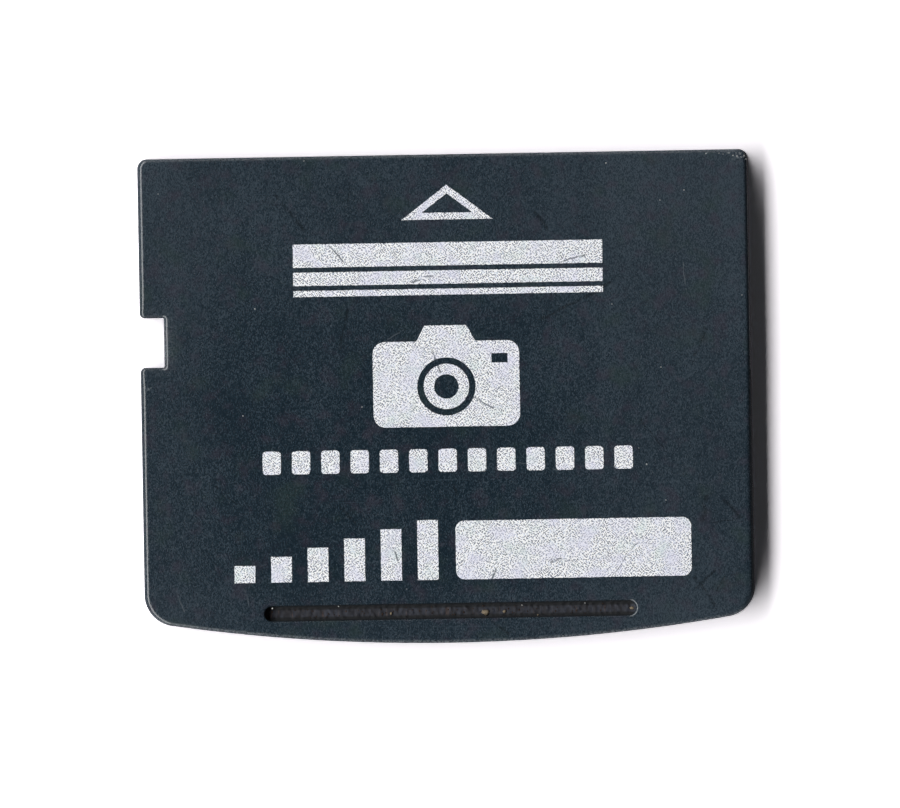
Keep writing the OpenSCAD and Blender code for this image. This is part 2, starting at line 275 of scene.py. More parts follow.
def mix(tree, factor, first, second):
    """Mixes two colours: first at factor 0 and second at factor 1."""
    made = add(tree, "Mix", {"data_type": "RGBA"})
    for value, socket in zip((factor, first, second), (made.inputs[0], made.inputs[6], made.inputs[7])):
        feed(tree, value, socket)
    return made.outputs[2]


def noise(tree, where, scale, detail=2.0, roughness=0.5):
    """Noise from 0 to 1 with one blob for every 1 / scale of the coordinate."""
    return add(tree, "TexNoise", Vector=where, Scale=scale, Detail=detail, Roughness=roughness).outputs[0]


def stretched(tree, where, angle, along, across):
    """Coordinates turned by angle and scaled by along and across, so that a noise on them draws streaks."""
    made = add(tree, "Mapping", Vector=where)
    made.inputs["Rotation"].default_value = (0.0, 0.0, math.radians(angle))
    made.inputs["Scale"].default_value = (along, across, 1.0)
    return made.outputs[0]


def paint(red, green, blue):
    """A screen colour from 0 to 255 as the linear colour that a socket takes."""
    screen = np.array((red, green, blue)) / 255.0
    linear = np.where(screen <= 0.04045, screen / 12.92, ((screen + 0.055) / 1.055) ** 2.4)
    return (*linear.tolist(), 1.0)


# %% [markdown]
# An effect that several finishes share is a node group: it is built once and placed with its own values
# in each material. A group here takes the place on the piece in millimetres and gives back a mask or a
# height.

# %% Functions that make and place a node group
def new_group(name, inputs, outputs):
    """An empty shader group with these sockets, and its own input and output nodes."""
    tree = bpy.data.node_groups.new(name, "ShaderNodeTree")
    for label, kind, value in inputs:
        socket = tree.interface.new_socket(label, in_out="INPUT", socket_type="NodeSocket" + kind)
        socket.default_value = value
    for label in outputs:
        tree.interface.new_socket(label, in_out="OUTPUT", socket_type="NodeSocketFloat")
    return tree, tree.nodes.new("NodeGroupInput").outputs, tree.nodes.new("NodeGroupOutput").inputs


def place(tree, group, **values):
    """Puts a group into a material and feeds it. Returns its outputs."""
    made = add(tree, "Group", {"node_tree": group})
    for label, value in values.items():
        feed(tree, value, made.inputs[label.replace("_", " ")])
    return made.outputs


ORIGIN = (0.0, 0.0, 0.0)
FLATTEN = (1.0, 1.0, 0.0)

# %% [markdown]
# **Grain.** Moulds for such cards are etched, so the plastic has a fine even tooth, about a tenth of a
# millimetre from bump to bump, with still finer grit on it and a cloudiness from handling. Smooth noise
# gives the tooth, a random number for each cell of a small Voronoi pattern the grit, and noise in many
# sizes the clouds. The same group serves the ink and the package, with other sizes.

# %% Grain group
GRIT_PER_TOOTH = 1.7
grain, grain_in, grain_out = new_group(
    "moulded_grain",
    [("Where", "Vector", ORIGIN), ("Tooth", "Float", 0.1), ("Cloud", "Float", 2.5)],
    ["Tooth", "Grit", "Cloud"],
)
tooth_scale = calc(grain, "DIVIDE", 1.0, grain_in["Tooth"])
grit_scale = calc(grain, "MULTIPLY", tooth_scale, GRIT_PER_TOOTH)
cloud_scale = calc(grain, "DIVIDE", 1.0, grain_in["Cloud"])
feed(grain, noise(grain, grain_in["Where"], tooth_scale, detail=2.0, roughness=0.6), grain_out["Tooth"])
grit_cells = add(grain, "TexVoronoi", Vector=grain_in["Where"], Scale=grit_scale)
feed(grain, add(grain, "SeparateColor", Color=grit_cells.outputs["Color"]).outputs[0], grain_out["Grit"])
feed(grain, noise(grain, grain_in["Where"], cloud_scale, detail=5.0, roughness=0.7), grain_out["Cloud"])
print("group:", grain.name)

# %% [markdown]
# **One scratch.** The distance from a point to a line from start to end tells how far inside the
# scratch it is. The place is pushed about by noise first, so the line wavers like a real one, and a
# second noise breaks it up.

# %% Scratch group
WAVER_SCALE = 1.3
SCRATCH_CORE = 0.2
GAP_SCALE = 3.0
GAP_EDGES = (0.32, 0.56)
scratch, scratch_in, scratch_out = new_group(
    "one_scratch",
    [
        ("Where", "Vector", ORIGIN),
        ("Start", "Vector", ORIGIN),
        ("End", "Vector", ORIGIN),
        ("Width", "Float", 0.05),
        ("Waver", "Float", 0.15),
    ],
    ["Mask"],
)
push = add(scratch, "TexNoise", Vector=scratch_in["Where"], Scale=WAVER_SCALE, Detail=3.0).outputs["Color"]
push = vector_calc(scratch, "SUBTRACT", push, (0.5, 0.5, 0.5))
push = vector_calc(scratch, "SCALE", push, scratch_in["Waver"])
wavy = vector_calc(scratch, "ADD", scratch_in["Where"], push)
flat = vector_calc(scratch, "MULTIPLY", wavy, FLATTEN)
from_start = vector_calc(scratch, "SUBTRACT", flat, scratch_in["Start"])
run = vector_calc(scratch, "SUBTRACT", scratch_in["End"], scratch_in["Start"])
reached = vector_calc(scratch, "DOT_PRODUCT", from_start, run)
run_squared = vector_calc(scratch, "DOT_PRODUCT", run, run)
along_run = calc(scratch, "DIVIDE_CLAMPED", reached, run_squared)
nearest = vector_calc(scratch, "SCALE", run, along_run)
away = vector_calc(scratch, "DISTANCE", from_start, nearest)
core = calc(scratch, "MULTIPLY", scratch_in["Width"], SCRATCH_CORE)
line = step(scratch, away, core, scratch_in["Width"], 1.0, 0.0)
gaps = step(scratch, noise(scratch, scratch_in["Where"], GAP_SCALE, 3.0), *GAP_EDGES)
feed(scratch, calc(scratch, "MULTIPLY", line, gaps), scratch_out["Mask"])
print("group:", scratch.name)

# %% [markdown]
# **Hairlines.** Rubbing in a pocket or a camera slot leaves many hair-thin lines. Noise that is
# stretched about fifty times longer than it is wide draws them, in four directions, and only its
# highest peaks are kept.

# %% Hairline group
HAIR_ALONG = 0.16
HAIR_ANGLES = ((14.0, 7.0), (83.0, 9.0), (-38.0, 6.0), (118.0, 8.0))
HAIR_LEVEL = 0.86
HAIR_SOFTNESS = 0.06
hairlines, hair_in, hair_out = new_group(
    "hairlines",
    [("Where", "Vector", ORIGIN), ("Amount", "Float", 0.5)],
    ["Mask"],
)
hair_level = calc(hairlines, "SUBTRACT", HAIR_LEVEL, calc(hairlines, "MULTIPLY", hair_in["Amount"], 0.2))
hair_top = calc(hairlines, "ADD", hair_level, HAIR_SOFTNESS)
hair_mask = 0.0
for hair_angle, hair_across in HAIR_ANGLES:
    hair_place = stretched(hairlines, hair_in["Where"], hair_angle, HAIR_ALONG, hair_across)
    streaks = noise(hairlines, hair_place, 1.0, detail=1.0)
    hair_mask = calc(hairlines, "MAXIMUM", step(hairlines, streaks, hair_level, hair_top), hair_mask)
feed(hairlines, hair_mask, hair_out["Mask"])
print("group:", hairlines.name)

# %% [markdown]
# **Dust.** Specks are scattered by a Voronoi pattern: each cell has one seed point, and a cell shows a
# speck only where its own random number is high, so specks stay rare and uneven.

# %% Dust group
SPECK_CORE = 0.4
dust, dust_in, dust_out = new_group(
    "dust_specks",
    [("Where", "Vector", ORIGIN), ("Cell", "Float", 0.6), ("Size", "Float", 0.06), ("Share", "Float", 0.1)],
    ["Mask"],
)
dust_flat = vector_calc(dust, "MULTIPLY", dust_in["Where"], FLATTEN)
dust_scale = calc(dust, "DIVIDE", 1.0, dust_in["Cell"])
cells = add(dust, "TexVoronoi", Vector=dust_flat, Scale=dust_scale)
cell_colour = add(dust, "SeparateColor", Color=cells.outputs["Color"])
largest_speck = calc(dust, "DIVIDE", dust_in["Size"], dust_in["Cell"])
speck_size = calc(dust, "MULTIPLY", largest_speck, cell_colour.outputs[1])
speck_core = calc(dust, "MULTIPLY", speck_size, SPECK_CORE)
speck = step(dust, cells.outputs["Distance"], speck_core, speck_size, 1.0, 0.0)
chosen = calc(dust, "LESS_THAN", cell_colour.outputs[0], dust_in["Share"])
feed(dust, calc(dust, "MULTIPLY", speck, chosen), dust_out["Mask"])
print("group:", dust.name)

# %% [markdown]
# ## Materials
#
# Each finish starts from one Principled shader. Numbers that are the same all over are set on its own
# sockets, and only what changes over the surface comes through nodes.

# %% Functions that every finish uses
def new_material(name, roughness, metallic=0.0):
    """A material with a Principled shader, and the place on the piece in millimetres."""
    material = bpy.data.materials.new(name)
    material.use_nodes = True
    tree = material.node_tree
    shader = tree.nodes["Principled BSDF"]
    shader.inputs["Roughness"].default_value = roughness
    shader.inputs["Metallic"].default_value = metallic
    place_m = add(tree, "TexCoord").outputs["Object"]
    return material, tree, shader, vector_calc(tree, "SCALE", place_m, 1.0 / MM)


def bump(tree, shader, height, depth_mm):
    """Feeds a height from 0 to 1 to the shader's normal, as relief depth_mm deep."""
    made = add(tree, "Bump", Height=height, Distance=depth_mm * MM, Strength=1.0)
    feed(tree, made.outputs[0], shader.inputs["Normal"])


def tinted(tree, where, colour, tints):
    """Mixes each tint in where a cloudy noise of its own is high.

    A tint is its colour, its noise's shift, scale and detail, the levels where it starts and is full,
    and its largest share.
    """
    for tint, shift, scale, detail, levels, share in tints:
        clouds = noise(tree, vector_calc(tree, "ADD", where, shift), scale, detail)
        colour = mix(tree, step(tree, clouds, *levels, 0.0, share), colour, tint)
    return colour


# %% [markdown]
# ** Slate plastic.** The case reads as a blue-black, a little lighter towards some of its edges. The scan shows some marks plainly, and each is placed by the pixels where it starts and ends. Painted values on the mesh say where the groove's dirt lies, where a painted shade darkens the groove's walls and the right rolled edge, where the rolled edge gets a painted highlight, and where the plastic round a nick is worn pale.

# %% Marks that the scan shows, as pixels of the photograph
DARK_MARKS_PX = [
    ((707, 496), (702, 521), 0.15, 0.25),
    ((725, 501), (741, 518), 0.12, 0.30),
    ((713, 523), (741, 518), 0.05, 0.45),
    ((695, 578), (718, 608), 0.11, 0.25),
    ((719, 565), (696, 588), 0.09, 0.30),
    ((728, 572), (716, 590), 0.05, 0.25),
    ((276, 196), (304, 231), 0.12, 0.35),
    ((350, 183), (347, 212), 0.05, 0.15),
    ((347, 311), (339, 348), 0.09, 0.25),
    ((611, 282), (541, 320), 0.10, 0.50),
    ((704, 329), (692, 362), 0.12, 0.40),
    ((536, 212), (546, 228), 0.13, 0.30),
    ((485, 616), (509, 634), 0.10, 0.30),
    ((212, 484), (236, 505), 0.05, 0.40),
    ((342, 508), (354, 522), 0.11, 0.30),
    ((454, 485), (459, 502), 0.10, 0.15),
    ((640, 420), (664, 448), 0.05, 0.40),
]
PALE_MARKS_PX = [
    ((176, 590), (184, 612), 0.035, 0.10),
    ((245, 590), (249, 606), 0.035, 0.10),
    ((683, 262), (686, 290), 0.035, 0.15),
    ((404, 330), (380, 346), 0.035, 0.20),
    ((520, 462), (560, 470), 0.035, 0.30),
]


def marks(tree, where, table):
    """The strongest of several scratches, given by their ends in pixels and their width and waver in mm."""
    total = 0.0
    for start_px, end_px, width, waver in table:
        start = (*photo_to_card(*start_px), 0.0)
        end = (*photo_to_card(*end_px), 0.0)
        mask = place(tree, scratch, Where=where, Start=start, End=end, Width=width, Waver=waver)["Mask"]
        total = calc(tree, "MAXIMUM", mask, total)
    return total


print("marks placed by pixel:", len(DARK_MARKS_PX) + len(PALE_MARKS_PX))

# %% [markdown]
# The plastic's colour runs from dark to light with a tone that adds up the grain's three parts, each with
# its weight, and a lightening towards some edges. A lighter place is an axis, two places along it in mm,
# and how much lighter the plastic is at each; the step towards the right side is partly a painted sheen,
# which evens out the lamp's sheen on the left. The dirt value painted on the mesh first mixes in a painted
# shade, on the groove's walls and foot and down the right rolled edge, then dulls the plastic and at last
# covers it with the groove's dirt, between the levels that are given for each.

# %% Colours and weights of the plastic
SLATE_DARK = paint(8, 26, 37)
SLATE = paint(22, 38, 48)
SLATE_LIGHT = paint(56, 68, 78)
# The next colour is the paler tone towards some edges, partly a painted sheen.
SLATE_PALE_TONE = paint(58, 65, 72)
SLATE_SCORED = paint(6, 13, 18)
SLATE_WARM = paint(60, 50, 63)
SLATE_GREEN = paint(42, 58, 52)
# The next colour is both worn pale plastic and a painted highlight on the rolled edges.
SLATE_WEAR_AND_HIGHLIGHT = paint(128, 135, 140)
SPECK_WHITE = paint(205, 208, 208)
# The next colour is a painted shade for the groove's walls and foot and the right rolled edge.
PAINTED_SHADE_DARK = paint(6, 12, 19)
GRIME_DARK = paint(32, 32, 39)
GRIME = paint(58, 62, 74)
GRIME_RUST = paint(94, 76, 70)
SLATE_TINTS = [
    (SLATE_WARM, (31.0, 7.0, 0.0), 1.5, 5.0, (0.5, 0.72), 0.3),
    (SLATE_GREEN, (-17.0, 40.0, 0.0), 0.7, 3.0, (0.54, 0.75), 0.35),
]
GRAIN_PULL = (1.3, 0.65, 1.0)
GRIT_RELIEF = 0.15
TONE_MIDDLE = 0.42
TONE_WEIGHTS = {"Tooth": 1.15, "Grit": 0.95, "Cloud": 0.85}
PALE_TONE_SHARE = 0.85
HAIR_SHARE = 0.35
DARK_MARK_SHARE = 0.5
DARK_MARK_RELIEF = 0.3
PALE_MARK_SHARE = 0.22
SPECK_SHARE = 0.55
RUST_SHARE = 0.6
# The first levels mix in the painted shade, the last ones the groove's dirt.
PAINTED_SHADE_LEVELS = (0.05, 0.45)
DIRT_DULLS = (0.38, 0.46)
DIRT_COVERS = (0.6, 0.95)
DIRT_ROUGHNESS = 0.6
# The step towards the right side is partly a painted sheen that evens out the lamp's sheen on the left.
LIGHTER_PLACES = [
    ("Y", -1.0, 9.0, 0.0, 0.16),
    ("X", 1.0, 10.0, 0.0, 0.2),
    ("X", -11.5, -8.0, 0.12, 0.0),
    ("Y", -9.0, -6.5, 0.12, 0.0),
]
print("places lightened by handling:", len(LIGHTER_PLACES))

# %% Parts of the plastic's look
def lighter_share(tree, where):
    """How much lighter the plastic is painted: the sum of smooth steps along X and along Y, partly a
    painted sheen.
    """
    split = add(tree, "SeparateXYZ", Vector=where)
    total = 0.0
    for axis, start, end, at_start, at_end in LIGHTER_PLACES:
        total = calc(tree, "ADD", total, step(tree, split.outputs[axis], start, end, at_start, at_end))
    return total


def slate_colour(tree, where, fine):
    """Blue-black to slate by the grain's tone, paler towards some edges and partly a painted sheen there,
    with tints and hairlines over it.
    """
    tone = TONE_MIDDLE
    for part, weight in TONE_WEIGHTS.items():
        tone = calc(tree, "MULTIPLY_ADD", calc(tree, "SUBTRACT", fine[part], 0.5), weight, tone)
    lighter_here = lighter_share(tree, where)
    tone = calc(tree, "ADD", tone, lighter_here)
    colour = mix(tree, step(tree, tone, 0.0, 0.5), SLATE_DARK, SLATE)
    colour = mix(tree, step(tree, tone, 0.5, 1.05), colour, SLATE_LIGHT)
    colour = mix(tree, calc(tree, "MULTIPLY", lighter_here, PALE_TONE_SHARE), colour, SLATE_PALE_TONE)
    colour = tinted(tree, where, colour, SLATE_TINTS)
    hair = place(tree, hairlines, Where=where, Amount=0.5)["Mask"]
    return mix(tree, calc(tree, "MULTIPLY", hair, HAIR_SHARE), colour, SLATE_LIGHT)


def groove_grime(tree, where):
    """Packed dirt: dark and pale fibres that lie across the groove, with rusty streaks."""
    fibres = noise(tree, stretched(tree, where, 4.0, 7.0, 1.4), 1.0, 3.0)
    rust = noise(tree, stretched(tree, where, -3.0, 9.0, 1.0), 1.0, 2.0)
    colour = mix(tree, step(tree, fibres, 0.3, 0.7), GRIME_DARK, GRIME)
    return mix(tree, step(tree, rust, 0.58, 0.74, 0.0, RUST_SHARE), colour, GRIME_RUST)


def mesh_value(tree, label):
    """The value that the mesh's points carry under this label."""
    return add(tree, "Attribute", {"attribute_name": label}).outputs["Fac"]


# %% [markdown]
# The layers go on as they did on the real card: plastic, marks, pale edges, dust, dirt. Part of it is
# painted light: the pale edges are mostly a painted highlight on the rolled edge, and worn plastic only
# round the nicks. The dirt's first layer is a painted shade on the groove's walls and foot and down the
# right rolled edge. Only the front half has the marks of the scan and the groove. The side walls are duller
# than the faces, because nothing polishes them.

# %% Slate plastic from its layers
def slate_plastic(name, front, roughness, gloss):
    """Moulded slate plastic. The front half also has the marks of the scan and the dirt in its groove."""
    material, tree, shader, where = new_material(name, roughness)
    shader.inputs["Specular IOR Level"].default_value = gloss
    drawn = vector_calc(tree, "MULTIPLY", where, GRAIN_PULL)
    fine = place(tree, grain, Where=drawn, Tooth=0.06, Cloud=2.6)
    colour = slate_colour(tree, where, fine)
    relief = calc(tree, "MULTIPLY_ADD", fine["Grit"], GRIT_RELIEF, fine["Tooth"])
    if front:
        dark = marks(tree, where, DARK_MARKS_PX)
        pale = marks(tree, where, PALE_MARKS_PX)
        colour = mix(tree, calc(tree, "MULTIPLY", dark, DARK_MARK_SHARE), colour, SLATE_SCORED)
        colour = mix(tree, calc(tree, "MULTIPLY", pale, PALE_MARK_SHARE), colour, SLATE_WEAR_AND_HIGHLIGHT)
        relief = calc(tree, "SUBTRACT", relief, calc(tree, "MULTIPLY", dark, DARK_MARK_RELIEF))
    patchy = step(tree, noise(tree, where, 13.0, 3.0), 0.42, 0.6)
    # A patchy painted highlight on the rolled edges, and worn pale plastic round the nicks.
    colour = mix(tree, calc(tree, "MULTIPLY", mesh_value(tree, "highlight_and_rub"), patchy), colour, SLATE_WEAR_AND_HIGHLIGHT)
    specks = place(tree, dust, Where=where, Cell=0.9, Size=0.055, Share=0.07)["Mask"]
    colour = mix(tree, calc(tree, "MULTIPLY", specks, SPECK_SHARE), colour, SPECK_WHITE)
    dirt = mesh_value(tree, "dirt")
    # Middling dirt values paint shade on the groove's walls and foot and down the right rolled edge.
    colour = mix(tree, step(tree, dirt, *PAINTED_SHADE_LEVELS), colour, PAINTED_SHADE_DARK)
    if front:
        colour = mix(tree, step(tree, dirt, *DIRT_COVERS), colour, groove_grime(tree, where))
        dulled = step(tree, dirt, *DIRT_DULLS, roughness, roughness + DIRT_ROUGHNESS)
        feed(tree, dulled, shader.inputs["Roughness"])
    feed(tree, colour, shader.inputs["Base Color"])
    bump(tree, shader, relief, depth_mm=0.004)
    return material


front_plastic = slate_plastic("slate_plastic_front", True, roughness=0.2, gloss=0.8)
back_plastic = slate_plastic("slate_plastic_back", False, roughness=0.3, gloss=0.5)
side_plastic = slate_plastic("slate_plastic_side", False, roughness=0.62, gloss=0.12)
print("materials:", front_plastic.name, back_plastic.name, side_plastic.name)

# %% [markdown]
# ** Silver ink.** Screen-printed silver is a clear binder full of tiny metal flakes. Each flake lies at its own angle, so the print is a salt-and-pepper of bright and dull grains no bigger than a twentieth of a millimetre. These glints are painted into the ink's colour: the random colour of a small Voronoi cell gives each flake its own painted glint, bright or dull, and the same number tilts it through the bump. Flakes lie side by side in a flat binder, so a bright one makes its neighbours look duller: the painted glint is the flake's own minus the mean of four neighbours.

# %% Silver ink
FLAKE_MM = 0.045
FLAKE_CONTRAST = 3.4
FLAKE_RELIEF = 0.6
INK_TONE = 0.95
# The dull and bright flake colours are painted shade and painted glints.
INK_SHADED_FLAKE = paint(96, 101, 114)
INK = paint(213, 221, 237)
INK_GLINT = paint(255, 255, 255)
INK_ROSE = paint(218, 218, 240)
INK_GREEN = paint(206, 224, 220)
INK_TINTS = [
    (INK_ROSE, (5.0, 3.0, 0.0), 1.3, 4.0, (0.42, 0.75), 0.6),
    (INK_GREEN, (-9.0, 13.0, 0.0), 1.1, 4.0, (0.5, 0.8), 0.5),
]
WORN_SHARE = 0.85
PINHOLE_SHARE = 0.3
INK_HAIR_SHARE = 0.2
INK_MARKS_PX = [
    ((492, 579), (496, 569), 0.06, 0.05),
    ((551, 562), (561, 558), 0.06, 0.05),
    ((612, 575), (640, 540), 0.025, 0.2),
    ((412, 282), (433, 276), 0.06, 0.3),
    ((330, 246), (344, 262), 0.05, 0.2),
    ((560, 262), (590, 254), 0.04, 0.3),
    ((432, 350), (440, 372), 0.05, 0.2),
    ((470, 395), (492, 407), 0.05, 0.3),
    ((246, 560), (262, 566), 0.05, 0.2),
    ((394, 548), (400, 566), 0.05, 0.2),
]


def flake_glint(tree, where, right, up):
    """The random painted glint of the flake that lies at a small offset from here."""
    moved = vector_calc(tree, "ADD", where, (right, up, 0.0))
    flakes = add(tree, "TexVoronoi", {"voronoi_dimensions": "2D"}, Vector=moved, Scale=1.0 / FLAKE_MM)
    return add(tree, "SeparateColor", Color=flakes.outputs["Color"]).outputs[0]


def silver_ink():
    """Silver screen ink with flakes whose glints are painted in, a few scratches down to the plastic, and
    pinholes.
    """
    material, tree, shader, where = new_material("flake_ink", roughness=0.5, metallic=0.2)
    around = 0.0
    for right, up in ((FLAKE_MM, 0.0), (-FLAKE_MM, 0.0), (0.0, FLAKE_MM), (0.0, -FLAKE_MM)):
        around = calc(tree, "ADD", flake_glint(tree, where, right, up), around)
    flake = flake_glint(tree, where, 0.0, 0.0)
    contrast = calc(tree, "MULTIPLY_ADD", around, -0.25, flake)
    tone = calc(tree, "MULTIPLY_ADD", contrast, FLAKE_CONTRAST, INK_TONE)
    drift = place(tree, grain, Where=where, Tooth=0.16, Cloud=1.2)
    # The flakes' tone paints glints and shade into the ink.
    colour = mix(tree, step(tree, tone, 0.0, 0.5), INK_SHADED_FLAKE, INK)
    colour = mix(tree, step(tree, tone, 0.5, 1.0), colour, INK_GLINT)
    colour = tinted(tree, where, colour, INK_TINTS)
    worn = marks(tree, where, INK_MARKS_PX)
    pinholes = place(tree, dust, Where=where, Cell=0.25, Size=0.05, Share=0.16)["Mask"]
    hair = place(tree, hairlines, Where=where, Amount=0.42)["Mask"]
    bare = 0.0
    for mask, share in ((worn, WORN_SHARE), (pinholes, PINHOLE_SHARE), (hair, INK_HAIR_SHARE)):
        bare = calc(tree, "MAXIMUM", calc(tree, "MULTIPLY", mask, share), bare)
    colour = mix(tree, bare, colour, SLATE_LIGHT)
    feed(tree, colour, shader.inputs["Base Color"])
    relief = calc(tree, "MULTIPLY_ADD", flake, FLAKE_RELIEF, drift["Tooth"])
    bump(tree, shader, relief, depth_mm=0.004)
    return material


ink_material = silver_ink()
print("material:", ink_material.name)

# %% [markdown]
# **Gold contacts.** Hard gold over nickel is a soft satin yellow. A slot's springs wipe each pad along
# its length, which leaves fine bright lines down its middle and a duller, browner rim.

# %% Gold
GOLD = paint(222, 186, 98)
GOLD_WIPED = paint(238, 208, 130)
GOLD_DULL = paint(168, 132, 70)
WIPED_WIDTHS = (0.1, 0.26)
pad_pitch = float(last_pad_low[0] - first_pad_low[0]) / (PAD_COUNT - 1)
pad_half_w = float(first_pad_high[0] - first_pad_low[0]) / 2


def contact_gold():
    """Gold plating wiped down each pad's middle line, the distance from which is a triangle wave."""
    material, tree, shader, where = new_material("contact_gold", roughness=0.3, metallic=1.0)
    across = add(tree, "SeparateXYZ", Vector=where).outputs[0]
    in_pitch = calc(tree, "DIVIDE", calc(tree, "SUBTRACT", across, float(first_pad_low[0])), pad_pitch)
    in_pad = calc(tree, "MULTIPLY", calc(tree, "FRACT", in_pitch), pad_pitch)
    off_middle = calc(tree, "ABSOLUTE", calc(tree, "SUBTRACT", in_pad, pad_half_w))
    wipe_lines = noise(tree, stretched(tree, where, 0.0, 22.0, 0.5), 1.0, 2.0)
    in_middle = step(tree, off_middle, *WIPED_WIDTHS, 1.0, 0.0)
    wiped = calc(tree, "MULTIPLY", in_middle, step(tree, wipe_lines, 0.4, 0.6))
    stain = step(tree, noise(tree, where, 2.2, 4.0), 0.5, 0.72)
    colour = mix(tree, calc(tree, "MULTIPLY", stain, 0.6), GOLD, GOLD_DULL)
    colour = mix(tree, wiped, colour, GOLD_WIPED)
    feed(tree, colour, shader.inputs["Base Color"])
    rough = calc(tree, "MULTIPLY_ADD", stain, 0.2, 0.26)
    feed(tree, calc(tree, "MULTIPLY_ADD", wiped, -0.1, rough), shader.inputs["Roughness"])
    bump(tree, shader, calc(tree, "MULTIPLY_ADD", wiped, -0.3, wipe_lines), depth_mm=0.002)
    return material


gold_material = contact_gold()
print(f"material: {gold_material.name}, for pads {2 * pad_half_w:.2f} mm wide every {pad_pitch:.2f} mm")

# %% [markdown]
# **Inside.** The board shows between the contacts: green solder resist over a faint weave of glass
# cloth. The memory package is black moulding compound with a spark-eroded surface, and the capacitors
# are bare ceramic. They are shut in, but a model that is taken apart should still find them finished.

# %% Board, package and capacitor finishes
CLOTH_WAVE = 16.0


def board_resist():
    """Green solder resist: two crossed waves show the glass cloth below it."""
    material, tree, shader, where = new_material("board_resist", roughness=0.35)
    split = add(tree, "SeparateXYZ", Vector=where)
    warp = calc(tree, "SINE", calc(tree, "MULTIPLY", split.outputs[0], CLOTH_WAVE))
    weft = calc(tree, "SINE", calc(tree, "MULTIPLY", split.outputs[1], CLOTH_WAVE))
    cloth = calc(tree, "MULTIPLY_ADD", calc(tree, "MULTIPLY", warp, weft), 0.5, 0.5)
    cloud = place(tree, grain, Where=where, Tooth=0.2, Cloud=3.0)
    tone = calc(tree, "MULTIPLY_ADD", cloud["Cloud"], 0.6, calc(tree, "MULTIPLY", cloth, 0.4))
    feed(tree, mix(tree, tone, paint(14, 48, 34), paint(30, 78, 52)), shader.inputs["Base Color"])
    bump(tree, shader, cloth, depth_mm=0.004)
    return material


def package_black():
    """Black moulding compound with fine spark texture."""
    material, tree, shader, where = new_material("package_black", roughness=0.62)
    fine = place(tree, grain, Where=where, Tooth=0.06, Cloud=2.0)
    tone = calc(tree, "MULTIPLY_ADD", fine["Cloud"], 0.4, calc(tree, "MULTIPLY", fine["Tooth"], 0.6))
    feed(tree, mix(tree, tone, paint(18, 18, 20), paint(44, 44, 46)), shader.inputs["Base Color"])
    bump(tree, shader, fine["Tooth"], depth_mm=0.01)
    return material


def capacitor_ceramic():
    """Tan ceramic with tinned ends: the ends are told by the distance from the chip's middle."""
    material, tree, shader, where = new_material("capacitor_ceramic", roughness=0.5)
    left, right = (float(corner[0]) for corner in box_mm("capacitor_2"))
    middle = (left + right) / 2
    reach = right - middle
    across = calc(tree, "ABSOLUTE", add(tree, "SeparateXYZ", Vector=where).outputs[0])
    off_middle = calc(tree, "ABSOLUTE", calc(tree, "SUBTRACT", across, middle))
    tinned = step(tree, off_middle, reach * 0.55, reach * 0.6)
    body = mix(tree, noise(tree, where, 8.0), paint(140, 108, 76), paint(176, 142, 104))
    feed(tree, mix(tree, tinned, body, paint(190, 190, 188)), shader.inputs["Base Color"])
    feed(tree, tinned, shader.inputs["Metallic"])
    return material


board_material = board_resist()
package_material = package_black()
ceramic_material = capacitor_ceramic()
print("materials:", len(bpy.data.materials))

# %% [markdown]
# ## The card's outline
#
# The outline is a closed path of arcs joined by straight runs: two small corners at the contact edge, a
# notch in the left side with rounded lips, two big corners at the grip edge and one wide arc between
# them. Every point carries the direction that points out of the card, so a profile can be carried round
# the path by moving each point inwards along it. That keeps arcs arcs, as an offset in a drawing does.

# %% Functions for paths
def arc(centre, radius, start, end, steps, side=1.0):
    """Points centre + radius (cos a, sin a), a from start to end in degrees, then side (cos a, sin a)."""
    angle = np.radians(np.linspace(start, end, steps + 1))
    ray = np.column_stack((np.cos(angle), np.sin(angle)))
    return np.hstack((np.asarray(centre) + radius * ray, side * ray))


def closed_path(arcs, spacing):
    """Joins arcs by straight runs, cut into equal steps no longer than spacing, into one closed path."""
    runs = []
    for here, after in zip(arcs, arcs[1:] + arcs[:1]):
        gap = after[0, :2] - here[-1, :2]
        steps = max(int(np.ceil(np.linalg.norm(gap) / spacing)), 1)
        share = np.arange(1, steps)[:, None] / steps
        normals = np.repeat(here[-1:, 2:], len(share), axis=0)
        runs += [here, np.hstack((here[-1, :2] + share * gap, normals))]
    path = np.vstack(runs)
    apart = np.linalg.norm(path[:, :2] - np.roll(path[:, :2], -1, axis=0), axis=1)
    return path[apart > 1e-6]


def rounded_rectangle(low, high, radius, steps=8, spacing=0.5):
    """A closed path round a rectangle with rounded corners."""
    x0, y0 = low[0] + radius, low[1] + radius
    x1, y1 = high[0] - radius, high[1] - radius
    corners = [((x1, y0), 270), ((x1, y1), 0), ((x0, y1), 90), ((x0, y0), 180)]
    return closed_path([arc(c, radius, a, a + 90, steps) for c, a in corners], spacing)


def inset(path, distance):
    """The path's points moved inwards: point minus distance times the outward direction."""
    return path[:, :2] - np.reshape(distance, (-1, 1)) * path[:, 2:]


